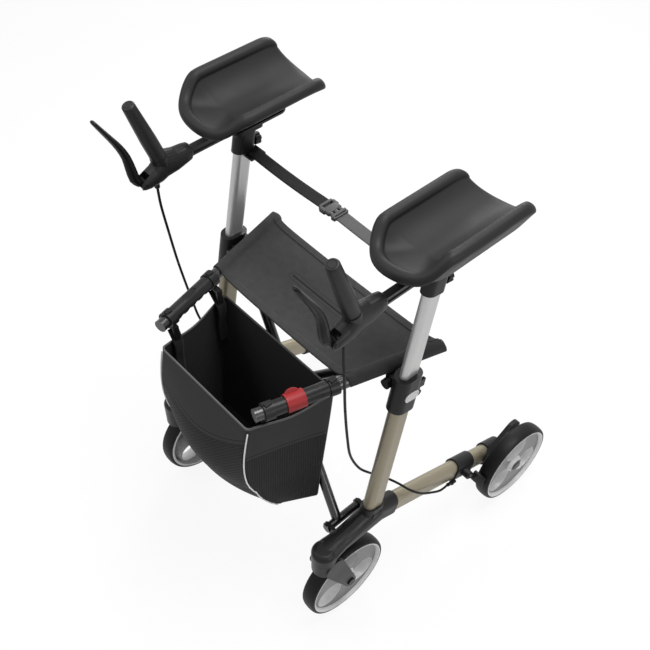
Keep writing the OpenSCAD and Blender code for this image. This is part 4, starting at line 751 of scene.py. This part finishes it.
def seat_line(y, wrap_steps=18, span_steps=60):
    """Line of the cloth across the walker at each y: round each tube from outside over its top, then falling
    off the tube by an exponential to a shallow parabola between the tubes."""
    c = tube_at(y)[:, None]
    r = TUBE_R + SEAT.off_tube
    a = np.radians(np.linspace(*SEAT.wrap, wrap_steps))[None]
    wrap = np.stack([c[..., 0] + r * np.cos(a), c[..., 2] + r * np.sin(a)], -1)
    u = np.linspace(1, 0, span_steps + 1)[None, 1:]
    edge = c[..., 0] + r * np.cos(a[:, -1:])
    x = edge * u
    z = c[..., 2] - SEAT.sag * (1 - u ** 2) + r * np.sin(a[:, -1:]) * np.exp(-(edge - x) / SEAT.fall)
    half = np.concatenate([wrap, np.stack([x, z], -1)], 1)
    other = half[:, -2::-1] * np.array((-1, 1))
    line = np.concatenate([half, other], 1)
    return np.stack([line[..., 0], y[:, None] + 0 * line[..., 0], line[..., 1]], -1)


class WALKER_OT_seat(bpy.types.Operator):
    """Makes the woven seat and its two hems"""

    bl_idname = "walker.seat"
    bl_label = "Seat"

    def execute(self, context):
        front, depth, skip = SEAT.front, SEAT.depth, SEAT_HEM.skip
        grid = seat_line(np.linspace(front, front + depth, 60))
        piece = add_piece("seat_cloth", surface(grid), None, "seat_cloth")
        solid(piece, context.scene.walker_sizes.seat_cloth)
        strips = []
        for rows in (np.linspace(0, SEAT_HEM.w, 5), np.linspace(depth - SEAT_HEM.w, depth, 5)):
            strip = seat_line(front + rows)[:, skip:-skip]
            strips.append(surface(strip + np.array((0, 0, SEAT_HEM.lift))))
        hems = add_piece("seat_hems", joined(*strips), None, "seat_cloth")
        solid(hems, SEAT_HEM.t)
        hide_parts("seat")
        for made in (piece, hems):
            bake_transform(made)
        return {"FINISHED"}


# Bag; drop is from rim to floor
BAG = Named(front=-0.334, back=-0.160, rim_drop=0.044, floor=0.279, drop=0.314, front_half=0.128,
            back_half=0.1608, t=0.0018, corner=0.010)
# Its form
FORM = Named(taper=0.008, lean=0.032, scoop=0.014, hollow=0.004, belly=0.030, belly_full=0.7)
# Its front, which bulges and then runs back under
FRONT = Named(bulge=0.016, bulge_end=0.68, under=0.060, under_from=0.45, power=2.2)
# Lower edge of its plain band
BAND = Named(front_z=0.500, half=0.12, rise=0.012, curve=0.042, side_z=0.508, side_y=-0.340, slope=0.2)
# Ribs of its mesh: slant and pitches
RIBS = Named(slant=1.1, front=0.0085, side=0.0048)
# Its hem
BAG_HEM = Named(share=0.008, out=0.0004, crown=0.0008)
# Its piping
PIPING = Named(run=(0.03, 0.99), out=0.0012)
# Points of a ring
CORNER_STEPS, SIDE_STEPS, PANEL_STEPS = 9, 24, 40
# Those at the middles of the front corners
FRONT_RIGHT = 2 * CORNER_STEPS + PANEL_STEPS + SIDE_STEPS + CORNER_STEPS // 2
FRONT_LEFT = FRONT_RIGHT + CORNER_STEPS + PANEL_STEPS
# Its straps, with the shares of the length at the hook, behind it and from there to the wall
STRAP_Y = (("front", -0.299), ("rear", -0.181))
STRAP = Named(w=0.022, t=0.0012, top=0.0200, len=0.130, off_tube=0.006, off_wall=0.006,
              off_hook=0.0075, hook=0.22, leave=0.3, run=0.4)


def bag_front(k):
    """Front of the bag at a share of its depth: a sine bulge, then a power that runs back under."""
    under = np.clip((k - FRONT.under_from) / (1 - FRONT.under_from), 0, 1)
    return (BAG.front - FRONT.bulge * np.sin(np.pi * np.clip(k / FRONT.bulge_end, 0, 1))
            + FRONT.under * under ** FRONT.power)


def bag_rings(k, inset):
    """Rings of the bag at shares of its depth: a trapezium with round corners, its front panel bellied by a
    parabola, its side edges scooped by a squared sine, the whole inset by the cloth."""
    k = np.asarray(k, float)[:, None]
    r = BAG.corner
    f, b = (half - FORM.taper * smooth01(k) - inset for half in (BAG.front_half, BAG.back_half))
    yf = bag_front(k) + inset
    yb = BAG.back - FORM.lean * k - inset
    belly = FORM.belly * smooth01(k / FORM.belly_full)
    turn = np.radians(np.linspace(0, 90, CORNER_STEPS))[None]
    u = np.linspace(1, -1, PANEL_STEPS + 2)[None, 1:-1]
    s = np.linspace(0, 1, SIDE_STEPS + 2)[None, 1:-1]
    hollow = FORM.hollow * np.sin(np.pi * s) * np.sin(np.pi * np.clip(k, 0, 1))

    def arc(x, y, quarters):
        """Quarter circle of a corner, begun after a number of quarter turns."""
        a = turn + quarters * np.pi / 2 + 0 * k
        return np.stack([x + r * np.cos(a), y + r * np.sin(a)], -1)

    flat = np.concatenate([
        arc(b - r, yb - r, 0), np.stack([(b - r) * u, yb + 0 * u], -1), arc(r - b, yb - r, 1),
        np.stack([-mix(b, f, s) + hollow, mix(yb - r, yf + r, s)], -1), arc(r - f, yf + r, 2),
        np.stack([(r - f) * u, yf - belly * (1 - u ** 2)], -1), arc(f - r, yf + r, 3),
        np.stack([mix(f, b, s) - hollow, mix(yf + r, yb - r, s)], -1)], 1)
    t = np.clip((flat[..., 1] - yf) / (yb - yf), 0, 1)
    rim = tube_at(flat[..., 1])[..., 2] - BAG.rim_drop - FORM.scoop * np.sin(np.pi * t) ** 2
    z = mix(rim, BAG.floor + max(inset, 0), k)
    return np.concatenate([flat, z[..., None]], -1)


def bag_panels(rings):
    """Distance above the plain band's lower edge, a parabola on the front panel and a sloping line on the others,
    and turns of the mesh's ribs, which slant on the front."""
    x, y, z = rings[..., 0], rings[..., 1], rings[..., 2]
    column = np.arange(rings.shape[1])
    in_front = ((column >= FRONT_RIGHT) & (column <= FRONT_LEFT))[None]
    share = x / BAND.half
    front = BAND.front_z + BAND.rise * share + BAND.curve * share ** 2
    edge = z - np.where(in_front, front, BAND.side_z - (y - BAND.side_y) * BAND.slope)
    ribs = np.where(in_front, (z - RIBS.slant * x) / RIBS.front, y / RIBS.side)
    return {"band_edge": edge.ravel(), "ribs": ribs.ravel()}


def bag_strap(y, rows=40):
    """Strap of the left side: straight from under the seat tube to the hook's inner face at the rim, then by a
    smoothstep to the bag's inner wall and down along it."""
    tube = tube_at(np.array([y]))[0]
    down = np.linspace(0, 1, rows)[:, None]
    across = y + np.linspace(-STRAP.w / 2, STRAP.w / 2, 7)[None]
    z = tube[2] - STRAP.top - STRAP.len * down + 0 * across
    k = np.clip((tube[2] - BAG.rim_drop - z) / BAG.drop, 0, 1)
    share = (across - BAG.front) / (BAG.back - BAG.front)
    wall = mix(BAG.front_half, BAG.back_half, share) - FORM.taper * smooth01(k) - STRAP.off_wall
    hook = mix(tube[0] - STRAP.off_tube, wall - STRAP.off_hook, np.clip(down / STRAP.hook, 0, 1))
    x = mix(hook, wall, smooth01((down - STRAP.leave) / STRAP.run))
    return surface(np.stack(np.broadcast_arrays(x, across, z), -1))


class WALKER_OT_bag(bpy.types.Operator):
    """Makes the hanging bag with its rim hem, piping and straps"""

    bl_idname = "walker.bag"
    bl_label = "Bag"

    def execute(self, context):
        rows = 60
        down = np.linspace(0, 1, rows)
        grid = np.concatenate([bag_rings(down[::-1], 0), bag_rings(down, BAG.t)])
        made = surface(grid, wrap=True, caps=True)
        inside = np.zeros(grid.shape[:2])
        inside[rows:] = 1
        bag = add_piece("hanging_bag_cloth", made, "hanging_bag", "bag_cloth",
                        {**bag_panels(grid), "inside": inside.ravel()})
        turn_outwards(bag)
        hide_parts("bag")
        hem_k = np.linspace(0, BAG_HEM.share, 5)
        hem_grid = np.concatenate([bag_rings(hem_k[::-1], -BAG_HEM.out),
                                   bag_rings(hem_k, BAG.t + BAG_HEM.out)])
        hem_grid[..., 2] += BAG_HEM.crown * (1 - np.abs(np.linspace(-1, 1, 10)))[:, None]
        hem = add_piece("bag_hem", surface(hem_grid, wrap=True), "hanging_bag", "hem_cloth")
        rings = bag_rings(np.linspace(*PIPING.run, 90), -PIPING.out)
        profile = ring_profile(context.scene.walker_sizes.piping / 2, 10)
        tubes = [surface(sweep(rings[:, column], profile, lean=(0.2, 0.9, 0.3)), wrap=True, caps=True)
                 for column in (FRONT_LEFT, FRONT_RIGHT)]
        piping = add_piece("bag_piping", joined(*tubes), "hanging_bag", "piping_white")
        turn_outwards(piping)
        for piece in (bag, hem, piping):
            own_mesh(piece)
        for place, y in STRAP_Y:
            made = bag_strap(y)
            for side, sign in SIDES:
                strap = add_piece(f"{side}_{place}_strap", on_side(made, sign), "hanging_bag", "strap_cloth")
                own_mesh(solid(strap, STRAP.t))
        return {"FINISHED"}


# Belt and buckle
BELT_Y, BELT_Z, BELT_END, BELT_SAG, BELT_T = -0.0155, 0.8193, 0.2307, 0.0035, 0.002
BUCKLE_X, BUCKLE_HALF = -0.008, 0.02
# Boxes of the buckle in millimetres from its middle: x, y and z from and to, and radius of the edges
BUCKLE_BOXES = np.array([
    (-23, -17, -15, 15, -5.5, 5.5, 2.2), (-19, -4, -18, -11, -5.5, 5.5, 2.5), (-19, -4, 11, 18, -5.5, 5.5, 2.5),
    (-12, 6, -16, 16, -4.5, 5.5, 3.0), (2, 14, -14, -7, -3.5, 4.5, 2.5), (2, 14, 7, 14, -3.5, 4.5, 2.5),
    (2, 14, -4, 4, -3.5, 4.5, 2.5), (11, 18, -17, 17, -5.5, 5.5, 2.6), (19, 23, -14, 14, -3.5, 4.5, 1.9),
    (12, 22, -17, -12, -4.5, 4.5, 2.0), (12, 22, 12, 17, -4.5, 4.5, 2.0),
]) / 1000


class WALKER_OT_belt(bpy.types.Operator):
    """Makes the webbing belt and its side-release buckle"""

    bl_idname = "walker.belt"
    bl_label = "Belt"

    def execute(self, context):
        width = context.scene.walker_sizes.belt_width
        across = np.linspace(-width / 2, width / 2, 9)
        strips = []
        for x0, x1 in ((BUCKLE_X + BUCKLE_HALF, BELT_END), (BUCKLE_X - BUCKLE_HALF, -BELT_END)):
            share = np.linspace(0.0, 1.0, 60)[:, None]
            z = BELT_Z - BELT_SAG * np.sin(np.pi * share)
            grid = np.stack(np.broadcast_arrays(mix(x0, x1, share), BELT_Y + across[None], z), -1)
            strips.append(surface(grid if x1 < x0 else grid[:, ::-1]))
        belt = add_piece("webbing_belt", joined(*strips), "left_arm", "webbing")
        solid(belt, BELT_T)
        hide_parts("belt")
        middle = np.array((BUCKLE_X, BELT_Y, BELT_Z))
        boxes = [soft_box(middle + row[0:6:2], middle + row[1:6:2], row[6]) for row in BUCKLE_BOXES]
        buckle = add_piece("belt_buckle", joined(*boxes), "left_arm", "buckle_plastic")
        turn_outwards(buckle)
        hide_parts("buckle")
        for piece in (belt, buckle):
            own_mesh(piece)
        return {"FINISHED"}


# Reflector, with its distances from the upright's middle
REFLECTOR = Named(w=0.021, l=0.034, cell=0.0026, depth=0.0005, curve=2.2, inside=0.9, out=0.01955,
                  rim=0.0006, back=0.0184, along=0.346)
UPRIGHT_FOOT = np.array((0.245, -0.142, 0.26))
UPRIGHT_LEAN = np.radians(11.3)


def on_upright(points):
    """Points given as (out, across, along the left upright from its knee) in the part's frame."""
    x, y, s = points[..., 0], points[..., 1], points[..., 2]
    c, n = np.cos(UPRIGHT_LEAN), np.sin(UPRIGHT_LEAN)
    return UPRIGHT_FOOT + np.stack([x, y * c + s * n, s * c - y * n], -1)


def honeycomb(a, b, cell):
    """Distance to the nearest centre of a hexagonal lattice, as a share of the cell."""
    step = np.array((cell, cell * np.sqrt(3)))
    p = np.stack([a, b], -1)
    near = [np.linalg.norm(p - shift - step * np.round((p - shift) / step), axis=-1)
            for shift in (np.zeros(2), step / 2)]
    return np.minimum(*near) / cell


class WALKER_OT_reflectors(bpy.types.Operator):
    """Makes the honeycomb lenses of the reflectors on the collars"""

    bl_idname = "walker.reflectors"
    bl_label = "Reflectors"

    def execute(self, context):
        w, length = REFLECTOR.w, REFLECTOR.l
        radius = np.concatenate([np.linspace(0.02, 0.97, 46), [1.0, 1.0]])[:, None]
        turn = circle(120)[None]
        across = w / 2 * radius * np.cos(turn)
        along = w / 2 * radius * np.sin(turn) + np.sign(np.sin(turn)) * (length - w) / 2 * radius
        cells = honeycomb(across, along, REFLECTOR.cell)
        dome = REFLECTOR.depth * (1 - REFLECTOR.curve * cells ** 2)
        out = REFLECTOR.out + np.where(radius < REFLECTOR.inside, dome, REFLECTOR.rim)
        out[-1] = REFLECTOR.back
        grid = on_upright(np.stack([out, along, REFLECTOR.along + across], -1))
        made = surface(grid, wrap=True, caps=True)
        for side, sign in SIDES:
            piece = add_piece(f"{side}_reflector_lens", on_side(made, sign), f"{side}_side", "white_reflector")
            turn_outwards(piece)
            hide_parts(f"{side}_reflector")
        return {"FINISHED"}


# Lights: name, place, size and power, and the point they look at
LIGHTS = (
    ("key_light", (-1.2, -1.3, 2.7), 1.0, 20), ("side_light", (2.3, 0.2, 1.5), 0.9, 16),
    ("top_light", (0.3, 0.4, 2.9), 1.2, 62), ("back_light", (-1.4, 1.9, 1.8), 1.0, 26),
)
LIGHT_AIM = np.array((0, -0.05, 0.5))
# Strength of the sky as it is seen and as it lights, and share of glow in the floor as it is seen
SKY_SEEN, SKY_LIGHT, FLOOR_GLOW = 1.0, 0.28, 0.9
FLOOR_R, FLOOR_Z = 14, -0.0004
# Camera solved from the photograph, sensor and lens in millimetres
CAMERA = Named(sensor=36.0, lens=53.165, place=(0.9314, -0.8785, 1.9371), turn=(41.941, 0, 48.079))


def seen_directly(t):
    """1 for rays from the camera, reflected or not, and 0 for rays that carry light."""
    path = t.add("LightPath").outputs
    return t.math("MAXIMUM", path["Is Camera Ray"],
                  t.math("MAXIMUM", path["Is Glossy Ray"], path["Is Transmission Ray"]))


def put(data, place, turn):
    """New object of a light's or a camera's data at a place, turned by three angles."""
    made = bpy.data.objects.new(data.name, data)
    made.location = place
    made.rotation_euler = Euler(turn)
    bpy.context.scene.collection.objects.link(made)
    return made


class WALKER_OT_stage(bpy.types.Operator):
    """Makes the pale floor, the soft lights and the camera at the photograph's place"""

    bl_idname = "walker.stage"
    bl_label = "Stage"

    def execute(self, context):
        scene = context.scene
        scene.view_settings.view_transform = "Standard"
        t, shader = start_material("pale_floor", Roughness=0.9, spec=0.0)
        t.link(scene.walker_colours.floor, shader.inputs["Base Color"])
        glow = t.add("Emission", ("Strength", 1.0))
        both = t.add("MixShader", (0, t.math("*", seen_directly(t), FLOOR_GLOW)),
                     (1, shader.outputs[0]), (2, glow.outputs[0]))
        t.link(both.outputs[0], t.tree.nodes["Material Output"].inputs[0])
        turn = circle(48)[None]
        radius = np.linspace(0.01, FLOOR_R, 6)[:, None]
        grid = np.stack([radius * np.cos(turn), radius * np.sin(turn), FLOOR_Z + 0 * radius * turn], -1)
        floor = add_piece("floor", surface(grid, wrap=True), None, "pale_floor")

        world = bpy.data.worlds.new("studio")
        scene.world = world
        world.use_nodes = True
        w = Tree(world.node_tree)
        strength = w.math("+", w.math("*", seen_directly(w), SKY_SEEN - SKY_LIGHT), SKY_LIGHT)
        sky = world.node_tree.nodes["Background"]
        sky.inputs["Color"].default_value = (1, 1, 1, 1)
        w.link(strength, sky.inputs["Strength"])

        for name, place, size, power in LIGHTS:
            lamp = bpy.data.lights.new(name, "AREA")
            lamp.size = size
            lamp.energy = power
            aim = LIGHT_AIM - np.array(place)
            flat = np.hypot(aim[0], aim[1])
            put(lamp, place, (np.arctan2(flat, -aim[2]), 0, np.arctan2(-aim[0], aim[1])))

        camera = bpy.data.cameras.new("photo_camera")
        camera.sensor_width = CAMERA.sensor
        camera.lens = CAMERA.lens
        scene.camera = put(camera, CAMERA.place, np.radians(CAMERA.turn))
        return {"FINISHED"}


STEPS = (WALKER_OT_finishes, WALKER_OT_stage, WALKER_OT_cables, WALKER_OT_pads, WALKER_OT_seat, WALKER_OT_bag,
         WALKER_OT_belt, WALKER_OT_reflectors)


class WALKER_PT_panel(bpy.types.Panel):
    """Shows the walker's sizes, colours and building steps in the sidebar"""

    bl_label = "Upright walker"
    bl_idname = "WALKER_PT_panel"
    bl_space_type = "VIEW_3D"
    bl_region_type = "UI"
    bl_category = "Walker"

    def draw(self, context):
        for group in (context.scene.walker_sizes, context.scene.walker_colours):
            for key in group.bl_rna.properties.keys():
                if key not in ("rna_type", "name"):
                    self.layout.prop(group, key)
        for step in STEPS:
            self.layout.operator(step.bl_idname)


CLASSES = (WalkerSizes, WalkerColours, *STEPS, WALKER_PT_panel)


def register():
    """Registers the classes and puts both property groups on the scene."""
    for cls in CLASSES:
        bpy.utils.register_class(cls)
    bpy.types.Scene.walker_sizes = bpy.props.PointerProperty(type=WalkerSizes)
    bpy.types.Scene.walker_colours = bpy.props.PointerProperty(type=WalkerColours)


def unregister():
    """Takes the property groups and the classes away again."""
    del bpy.types.Scene.walker_colours
    del bpy.types.Scene.walker_sizes
    for cls in reversed(CLASSES):
        bpy.utils.unregister_class(cls)


def main():
    """Builds every piece in order."""
    register()
    for step in STEPS:
        getattr(bpy.ops.walker, step.bl_idname.partition(".")[2])()


if __name__ == "__main__":
    main()
